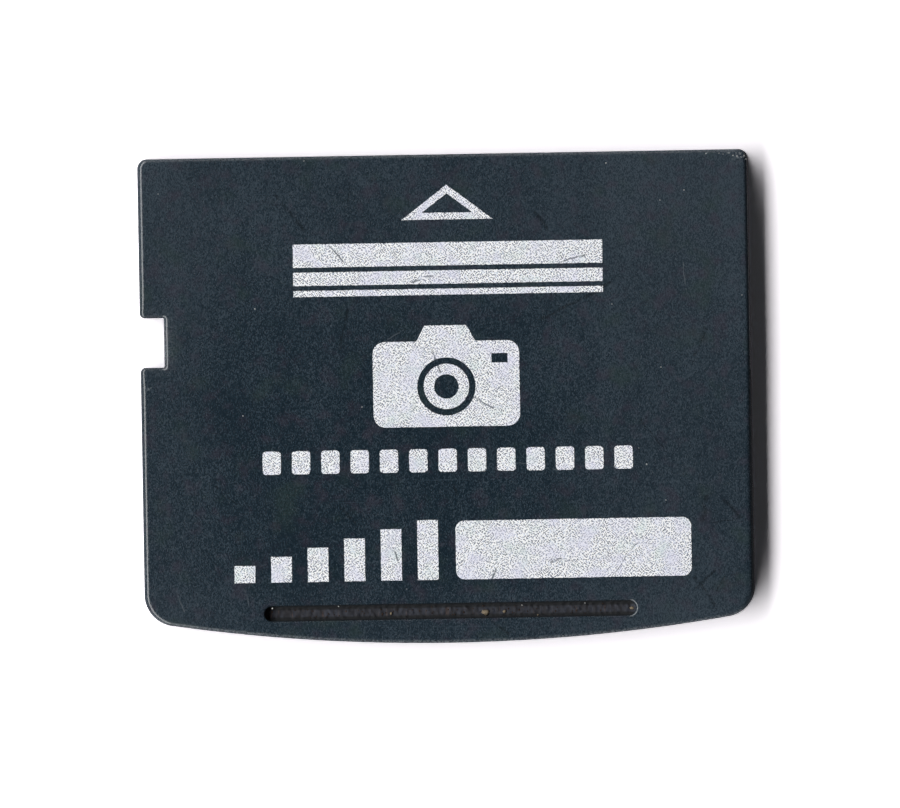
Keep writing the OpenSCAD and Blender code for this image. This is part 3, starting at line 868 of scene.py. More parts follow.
# %% The outline itself
bow_r = (half_w ** 2 + GRIP_BOW ** 2) / (2 * GRIP_BOW)
bow_y = bow_r - half_l
grip_x = half_w - GRIP_CORNER_R
grip_y = bow_y - math.sqrt((bow_r - GRIP_CORNER_R) ** 2 - grip_x ** 2)
grip_turn = math.degrees(math.atan2(bow_y - grip_y, grip_x))
notch_x = NOTCH_DEPTH - half_w
notch_top = NOTCH_Y + NOTCH_WIDTH / 2
notch_low = NOTCH_Y - NOTCH_WIDTH / 2
nose_x = half_w - NOSE_CORNER_R
nose_y = half_l - NOSE_CORNER_R
lip_x = NOTCH_LIP_R - half_w
root_x = notch_x - NOTCH_ROOT_R
outline = closed_path(
    [
        arc((nose_x, nose_y), NOSE_CORNER_R, 0, 90, 24),
        arc((-nose_x, nose_y), NOSE_CORNER_R, 90, 180, 16),
        arc((lip_x, notch_top + NOTCH_LIP_R), NOTCH_LIP_R, 180, 270, 10),
        arc((root_x, notch_top - NOTCH_ROOT_R), NOTCH_ROOT_R, 90, 0, 6, side=-1.0),
        arc((root_x, notch_low + NOTCH_ROOT_R), NOTCH_ROOT_R, 0, -90, 6, side=-1.0),
        arc((lip_x, notch_low - NOTCH_LIP_R), NOTCH_LIP_R, 90, 180, 10),
        arc((-grip_x, grip_y), GRIP_CORNER_R, 180, 180 + grip_turn, 28),
        arc((0.0, bow_y), bow_r, 180 + grip_turn, 360 - grip_turn, 220),
        arc((grip_x, grip_y), GRIP_CORNER_R, 360 - grip_turn, 360, 28),
    ],
    spacing=0.1,
)
print(f"outline of {len(outline)} points, grip arc radius {bow_r:.1f} mm")

# %% [markdown]
# ## From paths to solids
#
# A moulded shell is walls and floors. A wall is a strip of triangles between rows of points, one row
# for each height. A floor is a flat face with holes in it, filled with a Delaunay net that keeps to the
# rows at its rims. All the patches are then welded where their points are the same, which closes the
# shell, and the script counts the open edges to prove it.

# %% Functions that make walls and floors
def rows(path, profile):
    """One row of points for each (inset, height) of a profile carried round the path."""
    made = [np.column_stack((inset(path, d), np.broadcast_to(z, len(path)))) for d, z in profile]
    return np.stack(made)


def quarter_round(start, end, steps, from_flat):
    """A quarter turn of profile from start to end, each (inset, height), as a goes from 0 to 90 degrees.

    Leaving a flat, the inset goes with sin a and the height with 1 - cos a. Leaving a wall, these change
    places.
    """
    angle = np.radians(np.linspace(0, 90, steps + 1))
    across, up = np.sin(angle), 1 - np.cos(angle)
    if not from_flat:
        across, up = up, across
    far_in, high = end[0] - start[0], end[1] - start[1]
    return [(start[0] + far_in * a, start[1] + high * b) for a, b in zip(across, up)]


def wall(grid, outward=True):
    """Triangles between neighbouring rows of a closed grid, facing away from its inside if outward."""
    height, count = grid.shape[:2]
    here = np.arange(count)
    after = (here + 1) % count
    first = (np.arange(height - 1) * count)[:, None]
    a, b, c, d = first + here, first + after, first + count + after, first + count + here
    faces = np.stack((np.stack((a, b, c), -1), np.stack((a, c, d), -1))).reshape(-1, 3)
    return grid.reshape(-1, 3), faces if outward else faces[:, ::-1]


def inside(points, loop):
    """Even-odd rule: a point is inside if a ray towards +X crosses the loop an odd number of times."""
    start, end = loop, np.roll(loop, -1, axis=0)
    x, y = points[:, :1], points[:, 1:]
    crosses = (start[:, 1] > y) != (end[:, 1] > y)
    rise = np.where(end[:, 1] == start[:, 1], 1.0, end[:, 1] - start[:, 1])
    at_x = start[:, 0] + (y - start[:, 1]) * (end[:, 0] - start[:, 0]) / rise
    return (crosses & (x < at_x)).sum(axis=1) % 2 == 1


def within(points, loops):
    """Which points lie in the first loop and in none of the others."""
    found = inside(points, loops[0])
    for hole in loops[1:]:
        found &= ~inside(points, hole)
    return found


def floor(loops, height, up=True, spacing=None):
    """Fills the first loop, less the others, at one height, with a net of points where spacing is given."""
    border = np.vstack(loops)
    links = []
    for loop in loops:
        first = len(links)
        links += [(first + i, first + (i + 1) % len(loop)) for i in range(len(loop))]
    points = border
    if spacing:
        low, high = loops[0].min(0), loops[0].max(0)
        lines = [np.arange(low[axis] + spacing, high[axis], spacing) for axis in (0, 1)]
        net = np.stack(np.meshgrid(*lines), -1).reshape(-1, 2)
        net = net[within(net, loops)]
        nearest = ((net[:, None] - border[::2]) ** 2).sum(-1).min(1)
        points = np.vstack((border, net[nearest > (0.5 * spacing) ** 2]))
    made = delaunay_2d_cdt([tuple(p) for p in points], links, [], 0, 1e-6)
    source = np.array([own[0] for own in made[3]])
    faces = source[np.array(made[2])]
    corners = points[faces]
    keep = within(corners.mean(axis=1), loops)
    faces, corners = faces[keep], corners[keep]
    u, v = corners[:, 1] - corners[:, 0], corners[:, 2] - corners[:, 0]
    anticlockwise = u[:, 0] * v[:, 1] - u[:, 1] * v[:, 0] > 0
    wrong = anticlockwise != up
    faces[wrong] = faces[wrong][:, ::-1]
    return np.column_stack((points, np.full(len(points), height))), faces


# %% Functions that weld patches and make the object
def welded(patches):
    """Joins patches, welds points that agree to a millionth of a mm, and drops empty triangles."""
    points, faces, first = [], [], 0
    for patch_points, patch_faces in patches:
        points.append(patch_points)
        faces.append(patch_faces + first)
        first += len(patch_points)
    points, faces = np.vstack(points), np.vstack(faces)
    _, keep, same = np.unique(np.round(points, 6), axis=0, return_index=True, return_inverse=True)
    faces = same.reshape(-1)[faces]
    full = (faces[:, 0] != faces[:, 1]) & (faces[:, 1] != faces[:, 2]) & (faces[:, 2] != faces[:, 0])
    return points[keep], faces[full]


def open_edges(faces):
    """How many edges aren't shared by exactly two triangles."""
    edges = np.sort(np.vstack((faces[:, :2], faces[:, 1:], faces[:, [2, 0]])), axis=1)
    return int((np.unique(edges, axis=0, return_counts=True)[1] != 2).sum())


def build(name, patches, material, shape=None, values=None, sharp=32.0, side=None):
    """Makes a piece from patches in mm. shape moves its points, and values are painted on them by name.

    side gives a second material for the triangles between two heights that lie outside a loop.
    """
    points, faces = welded(patches)
    used = np.unique(faces)
    renumber = np.zeros(len(points), int)
    renumber[used] = np.arange(len(used))
    points, faces = points[used], renumber[faces]
    painted = {label: rule(points) for label, rule in (values or {}).items()}
    if shape:
        points = shape(points)
    mesh = bpy.data.meshes.new(name)
    mesh.from_pydata((points * MM).tolist(), [], faces.tolist())
    mesh.polygons.foreach_set("use_smooth", np.ones(len(faces), bool))
    mesh.set_sharp_from_angle(angle=math.radians(sharp))
    for label, numbers in painted.items():
        mesh.attributes.new(label, "FLOAT", "POINT").data.foreach_set("value", numbers.astype(np.float32))
    mesh.materials.append(material)
    if side:
        mesh.materials.append(side[0])
        middle = points[faces].mean(axis=1)
        on_side = (middle[:, 2] > side[1]) & (middle[:, 2] < side[2]) & ~inside(middle[:, :2], side[3])
        mesh.polygons.foreach_set("material_index", on_side.astype(np.int32))
    mesh.update()
    piece = bpy.data.objects.new(name, mesh)
    bpy.context.scene.collection.objects.link(piece)
    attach(piece, "root")
    print(f"{name}: {len(faces)} triangles, {open_edges(faces)} open edges")
    return piece


# %% [markdown]
# ## Front half of the case
#
# From the seam upwards the profile is a small bevel, the side wall, a quarter-round edge and the flat
# face. Inside are the pocket, the groove for the welding tongue, and four posts that hold the board
# down. The rolled edge is tighter in the notch and worn rounder down the right side, so its inset is
# worked out point by point.

# %% Loops that the inside follows
WORN_INSETS = (0.7, 0.1)
WORN_HEIGHTS = (1.5, -2.5)


def ramp(value, start, end):
    """(value - start) / (end - start), held at 0 before the start and at 1 after the end."""
    return np.clip((value - start) / (end - start), 0.0, 1.0)


pocket_low = np.array((board_low[0] - FIT_GAP, board_low[1] - FIT_GAP))
pocket_high = np.array((board_high[0] + FIT_GAP, board_high[1] + FIT_GAP))
pocket = rounded_rectangle(pocket_low, pocket_high, POCKET_R)
roof_z = package_top + PACKAGE_GAP


def around_pocket(distance):
    """The pocket's outline made bigger by distance on every side."""
    return rounded_rectangle(pocket_low - distance, pocket_high + distance, POCKET_R + distance)


from_notch = np.abs(outline[:, 1] - NOTCH_Y) - NOTCH_WIDTH / 2 - NOTCH_LIP_R
notch_share = np.where(outline[:, 0] < notch_x + 0.01, ramp(from_notch, NOTCH_EASE, 0.0), 0.0)
worn_share = ramp(half_w - outline[:, 0], *WORN_INSETS) * ramp(outline[:, 1], *WORN_HEIGHTS)
front_roll = FRONT_ROLL_R + (NOTCH_ROLL_R - FRONT_ROLL_R) * notch_share
front_roll = front_roll + (WORN_ROLL_R - FRONT_ROLL_R) * worn_share
print(f"pocket {2 * pocket_high[0]:.2f} mm wide, roof at {roof_z:.2f} mm")

# %% Groove path and profile
groove_end = (GROOVE_LENGTH - GROOVE_WIDTH) / 2
groove_y = GROOVE_INSET - half_l
groove_r = GROOVE_WIDTH / 2
groove = closed_path(
    [
        arc((groove_end, groove_y), groove_r, -90, 90, 32),
        arc((-groove_end, groove_y), groove_r, 90, 270, 32),
    ],
    spacing=0.06,
)
groove_floor_z = case_t - GROOVE_DEPTH
foot_top = groove_floor_z + GROOVE_FOOT_R
groove_profile = quarter_round((-GROOVE_LIP_R, case_t), (0.0, case_t - GROOVE_LIP_R), 5, from_flat=True)
groove_profile += [(0.0, z) for z in np.linspace(case_t - GROOVE_LIP_R - 0.05, foot_top + 0.05, 4)]
groove_profile += quarter_round((0.0, foot_top), (GROOVE_FOOT_R, groove_floor_z), 6, from_flat=False)
groove_profile += [(groove_r * share, groove_floor_z) for share in (0.5, 0.65, 0.8, 0.9, 1.0)]
groove_rows = rows(groove, groove_profile)
print(f"groove of {len(groove)} points, {len(groove_profile)} rows")

# %% [markdown]
# The real groove holds years of pocket dirt, and the corner by the contact edge is nicked. Both are
# shape as well as colour: the floor of the groove is raised in lumps, and each nick is a small dent
# with a smooth rim.

# %% Dirt and nicks as shape
NICKS_PX = [
    (729, 153, 0.05), (735, 155, 0.06), (740, 153, 0.05), (744, 156, 0.06), (706, 153.5, 0.04),
    (262, 158.5, 0.05), (405, 155, 0.05), (150, 300, 0.05), (147, 390, 0.04), (636, 632, 0.05),
    (560, 638, 0.05),
]
NICK_DEPTH = 0.035
NICK_DOWN = 0.8
NICK_IN = 0.6
NICK_DROP = 0.03
LUMP_HEIGHT = 0.05
LUMP_REACH = 0.12
DIRT_HALF_W = 0.22
DIRT_FADE = 0.13
DIRT_SHIFT = -0.01
# The right rolled edge gets a painted shade of this strength.
RIGHT_EDGE_SHADE = 0.36
nicks = [(np.array((*photo_to_card(px, py), case_t - NICK_DROP)), radius) for px, py, radius in NICKS_PX]


def lumps(x, y, scale, seed):
    """Smooth noise, mostly from -1 to 1: a quarter of the sum of twelve sine waves in random directions."""
    draw = np.random.default_rng(seed)
    heading = draw.uniform(0, 2 * math.pi, 12)
    pitch = draw.uniform(0.6, 1.8, 12) / scale
    phase = draw.uniform(0, 2 * math.pi, 12)
    waves = np.sin(np.outer(x, np.cos(heading) * pitch) + np.outer(y, np.sin(heading) * pitch) + phase)
    return waves.sum(axis=1) / 4.0


def over_groove(points, margin):
    """Which points lie over the groove's rectangle, made bigger by margin."""
    across = np.abs(points[:, 1] - groove_y) < groove_r + margin
    along = np.abs(points[:, 0]) < groove_end + groove_r + margin
    return across & along


def worn_front(points):
    """Raises the dirt on the groove's floor and presses the nicks in along the edge's own slope."""
    points = points.copy()
    low = ramp(points[:, 2], groove_floor_z + LUMP_REACH, groove_floor_z)
    low[~over_groove(points, 0.01) | (points[:, 2] < groove_floor_z - 0.001)] = 0
    heap = 0.5 + 0.5 * lumps(points[:, 0], points[:, 1], 0.05, 3)
    points[:, 2] += low * LUMP_HEIGHT * np.clip(heap, 0, 1.4)
    for centre, radius in nicks:
        x, y = centre[:2]
        away = np.linalg.norm(points - centre, axis=1) / radius
        dent = np.where(away < 1, (1 - away ** 2) ** 2, 0) * NICK_DEPTH
        points[:, 2] -= dent * NICK_DOWN
        points[:, 0] -= dent * NICK_IN * np.sign(x) * (abs(x) > half_w - 0.4)
        points[:, 1] -= dent * NICK_IN * np.sign(y) * (abs(y) > half_l - 0.9)
    return points


def dirt_and_shade_value(points):
    """1 along the middle of the groove's floor, half at its foot and on its walls, fading to 0 at its lip.

    The half on the walls and at the foot, and a value down the rolled edge on the right, are a painted
    shade; the middle of the floor is dirt.
    """
    x, y, z = points.T
    off_middle = np.abs(y - groove_y - DIRT_SHIFT)
    # Half on the walls, which paints shade there.
    shade_on_walls = 0.5 * ramp(z, case_t - 0.06, case_t - 0.16)
    on_floor = 0.5 * ramp(off_middle, DIRT_HALF_W, DIRT_HALF_W - DIRT_FADE)
    on_floor *= ramp(z, groove_floor_z + 0.2, groove_floor_z + 0.1)
    in_groove = over_groove(points, 0.02) & (z > groove_floor_z - 0.01)
    # Down the right rolled edge the value paints shade.
    at_right = RIGHT_EDGE_SHADE * ramp(x, half_w - 0.3, half_w - 0.1) * (z > case_t - FRONT_ROLL_R - 0.1)
    return np.where(in_groove, shade_on_walls + on_floor, at_right)


print("nicks:", len(nicks))

# %% [markdown]
# The rolled edge gets a painted highlight, and its strength depends on where it is: the grip edge gets
# most, then the contact edge and the notch, where it also reaches onto the face, the left side hardly any,
# and the right side none at all, as the scan shows. Round each nick the plastic is worn pale.

# %% Painted highlight on the front's edge, and wear round the nicks
# These weights set the painted highlight on the rolled edge.
GRIP_HIGHLIGHT = 0.75
NOSE_HIGHLIGHT = 0.46
LEFT_HIGHLIGHT = 0.15
NOTCH_HIGHLIGHT = 0.45
NOTCH_FACE_HIGHLIGHT = 0.2
EDGE_HIGHLIGHT_WIDTH = 0.16
EDGE_HIGHLIGHT_DEPTH = 0.15


def highlight_and_wear_value(points):
    """How much painted highlight the rolled edge gets, and how worn pale the plastic is round the nicks,
    from 0 to 1.

    On the rolled edge it fades with the inset, r (1 - sqrt(1 - (1 - drop / r)^2)), and below it with depth.
    """
    x, y, z = points.T
    drop = case_t - z
    rise = ramp(drop, FRONT_ROLL_R, 0.0)
    edge_inset = FRONT_ROLL_R * (1 - np.sqrt(1 - rise ** 2))
    on_roll = ramp(edge_inset, EDGE_HIGHLIGHT_WIDTH, 0.0)
    on_roll *= ramp(drop, FRONT_ROLL_R + EDGE_HIGHLIGHT_DEPTH, FRONT_ROLL_R)
    at_grip = GRIP_HIGHLIGHT * ramp(y, 1.6 - half_l, 1.2 - half_l)
    at_nose = NOSE_HIGHLIGHT * ramp(y, half_l - 0.35, half_l - 0.25)
    at_left = LEFT_HIGHLIGHT * ramp(x, 0.3 - half_w, 0.2 - half_w)
    at_right = ramp(x, half_w - 0.6, half_w - 0.4)
    at_notch = ramp(np.abs(y - NOTCH_Y), 1.5, 0.5) * ramp(x, notch_x + 0.4, notch_x + 0.3)
    rub_and_shine = on_roll * np.maximum(np.maximum(at_grip, at_nose) * (1 - at_right), at_left)
    rub_and_shine = np.maximum(rub_and_shine, at_notch * (NOTCH_FACE_HIGHLIGHT * (drop < FRONT_ROLL_R) + NOTCH_HIGHLIGHT * on_roll))
    rub_and_shine[(np.abs(y - groove_y) < groove_r + 0.1) & (np.abs(x) < half_w - 3)] = 0
    for centre, radius in nicks:
        away = np.linalg.norm(points - centre, axis=1) / radius
        rub_and_shine = np.maximum(rub_and_shine, ramp(away, 1.6, 0.6))
    return rub_and_shine


print(f"rubbed band {EDGE_HIGHLIGHT_WIDTH} mm wide on a roll of {FRONT_ROLL_R} mm")

# %% Build the front half
SIDE_INSET = 0.14
ROLL_STEPS = 8
seam = [(SEAM_BEVEL, 0.0), (SEAM_BEVEL * 0.3, SEAM_BEVEL * 0.5), (0.0, SEAM_BEVEL)]
front_profile = [(distance, split_z + height) for distance, height in seam]
front_profile += [(0.0, z) for z in np.linspace(split_z + 0.2, case_t - FRONT_ROLL_R - 0.1, 4)]
roll_foot = (0.0, case_t - front_roll)
front_profile += quarter_round(roll_foot, (front_roll, case_t), ROLL_STEPS, from_flat=False)
front_profile += [(front_roll + 0.03, case_t)]
front_rows = rows(outline, front_profile)
tongue_outer = around_pocket(TONGUE_WALL + TONGUE_WIDTH + FIT_GAP)
tongue_inner = around_pocket(TONGUE_WALL - FIT_GAP)
tongue_roof = tongue_top + FIT_GAP
post_columns = (board_low[0] + POST_INSET, board_high[0] - POST_INSET)
post_rows = (board_low[1] + POST_INSET, board_high[1] - POST_INSET)
posts = [closed_path([arc((x, y), POST_D / 2, 0, 360, 24)], 1.0) for x in post_columns for y in post_rows]
front_patches = [
    wall(front_rows),
    wall(groove_rows, outward=False),
    floor([front_rows[-1][:, :2], groove_rows[0][:, :2]], case_t, spacing=0.5),
    floor([front_rows[0][:, :2], tongue_outer[:, :2]], split_z, up=False),
    wall(rows(tongue_outer, [(0, split_z), (0, tongue_roof)]), outward=False),
    floor([tongue_outer[:, :2], tongue_inner[:, :2]], tongue_roof, up=False),
    wall(rows(tongue_inner, [(0, split_z), (0, tongue_roof)])),
    floor([tongue_inner[:, :2], pocket[:, :2]], split_z, up=False),
    wall(rows(pocket, [(0, split_z), (0, roof_z)]), outward=False),
    floor([pocket[:, :2]] + [post[:, :2] for post in posts], roof_z, up=False),
]
for post in posts:
    front_patches.append(wall(rows(post, [(0, board_top), (0, roof_z)])))
    front_patches.append(floor([post[:, :2]], board_top, up=False))
well_inside = inset(outline, SIDE_INSET)
front_half = build(
    "front_half",
    front_patches,
    front_plastic,
    shape=worn_front,
    values={"dirt": dirt_and_shade_value, "highlight_and_rub": highlight_and_wear_value},
    side=(side_plastic, split_z - 0.1, case_t - 0.075, well_inside),
)
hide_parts("front_cover")

# %% [markdown]
# ## Back half of the case
#
# The back half is the same outline the other way up, with a tongue where the front half has its groove
# and a window for the contacts. The slope that leads the card into its slot cuts across the whole
# contact edge. It is made by lifting every low point to the slope's height where the slope is higher:
# height = max(height, slope).

# %% Build the back half
WINDOW_R = 0.02
BACK_RUB = 0.3
back_profile = [(BACK_ROLL_R + 0.03, 0.0)]
back_profile += quarter_round((BACK_ROLL_R, 0.0), (0.0, BACK_ROLL_R), ROLL_STEPS, from_flat=True)
back_profile += [(0.0, z) for z in np.linspace(BACK_ROLL_R + 0.1, split_z - 0.15, 4)]
back_profile += [(distance, split_z - height) for distance, height in seam[::-1]]
back_rows = rows(outline, back_profile)
window_low = first_pad_low[:2] - WINDOW_MARGIN
window_high = last_pad_high[:2] + WINDOW_MARGIN
window = rounded_rectangle(window_low, window_high, WINDOW_R, 3)
window_profile = [(-WINDOW_BEVEL, 0.0), (-0.01, WINDOW_BEVEL * 0.85), (0.0, WINDOW_BEVEL + 0.01)]
window_profile.append((0.0, floor_t))
window_rows = rows(window, window_profile)
tongue_out = around_pocket(TONGUE_WALL + TONGUE_WIDTH)
tongue_in = around_pocket(TONGUE_WALL)
back_patches = [
    wall(back_rows),
    wall(window_rows, outward=False),
    floor([back_rows[0][:, :2], window_rows[0][:, :2]], 0.0, up=False, spacing=0.4),
    floor([pocket[:, :2], window_rows[-1][:, :2]], floor_t),
    wall(rows(pocket, [(0, floor_t), (0, split_z)]), outward=False),
    floor([tongue_in[:, :2], pocket[:, :2]], split_z),
    wall(rows(tongue_in, [(0, split_z), (0, tongue_top)]), outward=False),
    floor([tongue_out[:, :2], tongue_in[:, :2]], tongue_top),
    wall(rows(tongue_out, [(0, split_z), (0, tongue_top)])),
    floor([back_rows[-1][:, :2], tongue_out[:, :2]], split_z),
]


def led_in(points):
    """Lifts the underside to the lead-in slope wherever the slope is higher."""
    points = points.copy()
    slope = (points[:, 1] - (half_l - LEAD_LENGTH)) * LEAD_HEIGHT / LEAD_LENGTH
    low = points[:, 2] < LEAD_HEIGHT + 0.02
    points[low, 2] = np.maximum(points[low, 2], slope[low])
    return points


def rubbed_back(points):
    """Low points near the back's edges are a little worn, in a band that is wider at the two ends."""
    x, y, z = points.T
    rub_and_shine = BACK_RUB * ramp(z, 0.15, 0.0)
    rub_and_shine[(np.abs(x) < half_w - 0.3) & (np.abs(y + 0.2) < half_l - 1.5)] = 0
    return rub_and_shine


back_half = build(
    "back_half",
    back_patches,
    back_plastic,
    shape=led_in,
    values={"highlight_and_rub": rubbed_back},
    side=(side_plastic, 0.05, split_z + 0.1, well_inside),
)
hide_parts("back_cover")

# %% [markdown]
# ## Silver print
#
# The ink is a film a fiftieth of a millimetre thick, so it gets real thickness. A screen leaves edges a
# little ragged: each outline is cut into short steps and pushed in and out by smoothed random amounts.
# The triangle that shows which way the card goes in, and the panel to write on, stand where the scan
# has them. The other fields are plain signs of the same size and weight: stripes, a camera, blocks and
# rising bars.

# %% Functions for ink
INK_STEP = 0.04
RAGGED = 0.004
RAGGED_MOST = 0.03
NEIGHBOUR_SHARE = 0.4
SMOOTHED_SPREAD = 1.15
screen_draw = np.random.default_rng(11)


def ragged(corners):
    """Cuts a closed outline into short steps and pushes each point across it by a smoothed random bit."""
    corners = np.asarray(corners, float)
    cut = []
    for start, end in zip(corners, np.roll(corners, -1, axis=0)):
        steps = max(int(np.linalg.norm(end - start) / INK_STEP), 1)
        cut.append(start + np.arange(steps)[:, None] / steps * (end - start))
    points = np.vstack(cut)
    along = np.roll(points, -1, axis=0) - np.roll(points, 1, axis=0)
    across = np.column_stack((along[:, 1], -along[:, 0])) / np.linalg.norm(along, axis=1)[:, None]
    push = screen_draw.normal(0, RAGGED, len(points))
    push = (push + NEIGHBOUR_SHARE * (np.roll(push, 1) + np.roll(push, -1))) / SMOOTHED_SPREAD
    return points + across * np.clip(push, -RAGGED_MOST, RAGGED_MOST)[:, None]


def film(outer, holes=()):
    """A film of ink: top, bottom and the thin wall round every outline. Holes run clockwise."""
    outer = ragged(outer)
    holes = [ragged(hole) for hole in holes]
    loops = [outer] + holes
    patches = [floor(loops, ink_top, spacing=0.4), floor(loops, case_t, up=False)]
    for loop in loops:
        area = (loop[:, 0] * np.roll(loop[:, 1], -1) - loop[:, 1] * np.roll(loop[:, 0], -1)).sum()
        low = np.column_stack((loop, np.full(len(loop), case_t)))
        high = np.column_stack((loop, np.full(len(loop), ink_top)))
        patches.append(wall(np.stack((low, high)), outward=(area > 0) == (loop is outer)))
    return patches


def rectangle(x0, y0, x1, y1):
    """Corners of a rectangle, anticlockwise."""
    return [(x0, y0), (x1, y0), (x1, y1), (x0, y1)]


def print_field(label, name, patches):
    """One printed field, which stands for the solid of that name."""
    piece = build(label, patches, ink_material)
    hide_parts(name)


# %% Triangle
ARROW_STROKE = 0.28
arrow_low, arrow_high = box_mm("arrow_print")
arrow_mid = (arrow_low[0] + arrow_high[0]) / 2
arrow_corners = np.array([arrow_low[:2], (arrow_high[0], arrow_low[1]), (arrow_mid, arrow_high[1])])
arrow_w, arrow_h = arrow_high[0] - arrow_low[0], arrow_high[1] - arrow_low[1]
inner_r = arrow_w * arrow_h / (arrow_w + 2 * math.hypot(arrow_w / 2, arrow_h))
arrow_heart = np.array((arrow_mid, arrow_low[1] + inner_r))
arrow_hole = arrow_heart + (inner_r - ARROW_STROKE) / inner_r * (arrow_corners - arrow_heart)
print_field("arrow_ink", "arrow_print", film(arrow_corners, [arrow_hole]))

# %% Stripes
STRIPE_HEIGHTS = (0.25, 0.55, 0.95)
STRIPE_GAP = 0.2
stripe_low, stripe_high = box_mm("stripe_print")
stripe_patches = []
stripe_foot = stripe_low[1]
for stripe_height in STRIPE_HEIGHTS:
    stripe_top = stripe_foot + stripe_height
    stripe_patches += film(rectangle(stripe_low[0], stripe_foot, stripe_high[0], stripe_top))
    stripe_foot = stripe_top + STRIPE_GAP
print_field("stripe_ink", "stripe_print", stripe_patches)

# %% Camera sign
CAMERA_HUMP = 0.65
CORNER_SHARE = 1 / 7
LENS_SHARES = (0.34, 0.34 * 0.78, 0.34 * 0.42)
LENS_HEIGHT = 0.47
HUMP_SHARES = (1 / 5, 1 / 7)
FINDER_AT = (0.31, 0.74)
FINDER_SHARE = 0.11
camera_low, camera_high = box_mm("camera_print")
sign_w = camera_high[0] - camera_low[0]
sign_h = camera_high[1] - camera_low[1] - CAMERA_HUMP
sign_x = (camera_low[0] + camera_high[0]) / 2
sign_top = camera_low[1] + sign_h
sign_r = sign_h * CORNER_SHARE
sign_lens = (sign_x, camera_low[1] + sign_h * LENS_HEIGHT)
hump_foot, hump_top = (sign_w * share for share in HUMP_SHARES)
hump_points = [
    (sign_x + hump_foot, sign_top),
    (sign_x + hump_top, camera_high[1]),
    (sign_x - hump_top, camera_high[1]),
    (sign_x - hump_foot, sign_top),
]
sign_right, sign_left = camera_high[0] - sign_r, camera_low[0] + sign_r
sign_outline = np.vstack([
    arc((sign_right, camera_low[1] + sign_r), sign_r, -90, 0, 8)[:, :2],
    arc((sign_right, sign_top - sign_r), sign_r, 0, 90, 8)[:, :2],
    hump_points,
    arc((sign_left, sign_top - sign_r), sign_r, 90, 180, 8)[:, :2],
    arc((sign_left, camera_low[1] + sign_r), sign_r, 180, 270, 8)[:, :2],
])
finder_x, finder_y = sign_x + sign_w * FINDER_AT[0], camera_low[1] + sign_h * FINDER_AT[1]
finder = rectangle(finder_x, finder_y, finder_x + sign_w * FINDER_SHARE, finder_y + sign_h * FINDER_SHARE)
rings = [arc(sign_lens, sign_h * share, 0, 360, 72)[:-1, :2] for share in LENS_SHARES]
camera_patches = film(sign_outline, [rings[0], finder])
camera_patches += film(rings[1], [rings[2]])
print_field("camera_ink", "camera_print", camera_patches)

# %% Blocks
BLOCK_COUNT = 13
BLOCK_W = 0.75
block_low, block_high = box_mm("block_print")
block_pitch = (block_high[0] - block_low[0] - BLOCK_W) / (BLOCK_COUNT - 1)
block_patches = []
for number in range(BLOCK_COUNT):
    x = block_low[0] + number * block_pitch
    block_outline = rounded_rectangle((x, block_low[1]), (x + BLOCK_W, block_high[1]), BLOCK_W / 6, 4)
    block_patches += film(block_outline[:, :2])
print_field("block_ink", "block_print", block_patches)

# %% Bars
BAR_COUNT = 6
BAR_W = 0.85
BAR_LOW = 0.7
gauge_low, gauge_high = box_mm("gauge_print")
bar_pitch = (gauge_high[0] - gauge_low[0] - BAR_W) / (BAR_COUNT - 1)
bar_rise = (gauge_high[1] - gauge_low[1] - BAR_LOW) / (BAR_COUNT - 1)
bar_patches = []
for number in range(BAR_COUNT):
    x = gauge_low[0] + number * bar_pitch
    bar_patches += film(rectangle(x, gauge_low[1], x + BAR_W, gauge_low[1] + BAR_LOW + number * bar_rise))
print_field("gauge_ink", "gauge_print", bar_patches)

# %% Panel to write on
PANEL_R = 0.35
panel_low, panel_high = box_mm("write_on_panel")
panel_outline = rounded_rectangle(panel_low[:2], panel_high[:2], PANEL_R, 10, 0.4)
print_field("write_on_ink", "write_on_panel", film(panel_outline[:, :2]))

# %% [markdown]
# ## Contacts
#
# A plated pad has a softly rounded edge. Each one is a rounded rectangle carried down from the board
# through a quarter-round and closed by its flat face, one piece for each solid.

# %% Build the contacts
PAD_CORNER_R = 0.1
PAD_EDGE_R = 0.02
for number in range(1, PAD_COUNT + 1):
    pad_low, pad_high = box_mm(f"contact_{number:02d}")
    pad = rounded_rectangle(pad_low[:2], pad_high[:2], PAD_CORNER_R, 6, 0.2)
    pad_face = pad_low[2]
    pad_edge = quarter_round((PAD_EDGE_R, pad_face), (0.0, pad_face + PAD_EDGE_R), 4, from_flat=True)
    pad_rows = rows(pad, [(PAD_EDGE_R + 0.01, pad_face)] + pad_edge + [(0.0, pad_high[2])])
    patches = [
        wall(pad_rows),
        floor([pad_rows[0][:, :2]], pad_face, up=False),
        floor([pad_rows[-1][:, :2]], pad_high[2]),
    ]
    contact = build(f"gold_pad_{number:02d}", patches, gold_material)
    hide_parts(f"contact_{number:02d}")

# %% [markdown]
# ## Crumbs in the groove
#
# Grit and lint sit on the groove's floor. Each crumb is a small ball whose points are pulled in and out
# by random amounts, pressed into the dirt. Pale chips and white specks lie where the scan shows them,
# also on the face and at the worn corner. At a distance d from the outline the rolled edge is lower by
# r - sqrt(r^2 - (r - d)^2), and so is a speck on it.

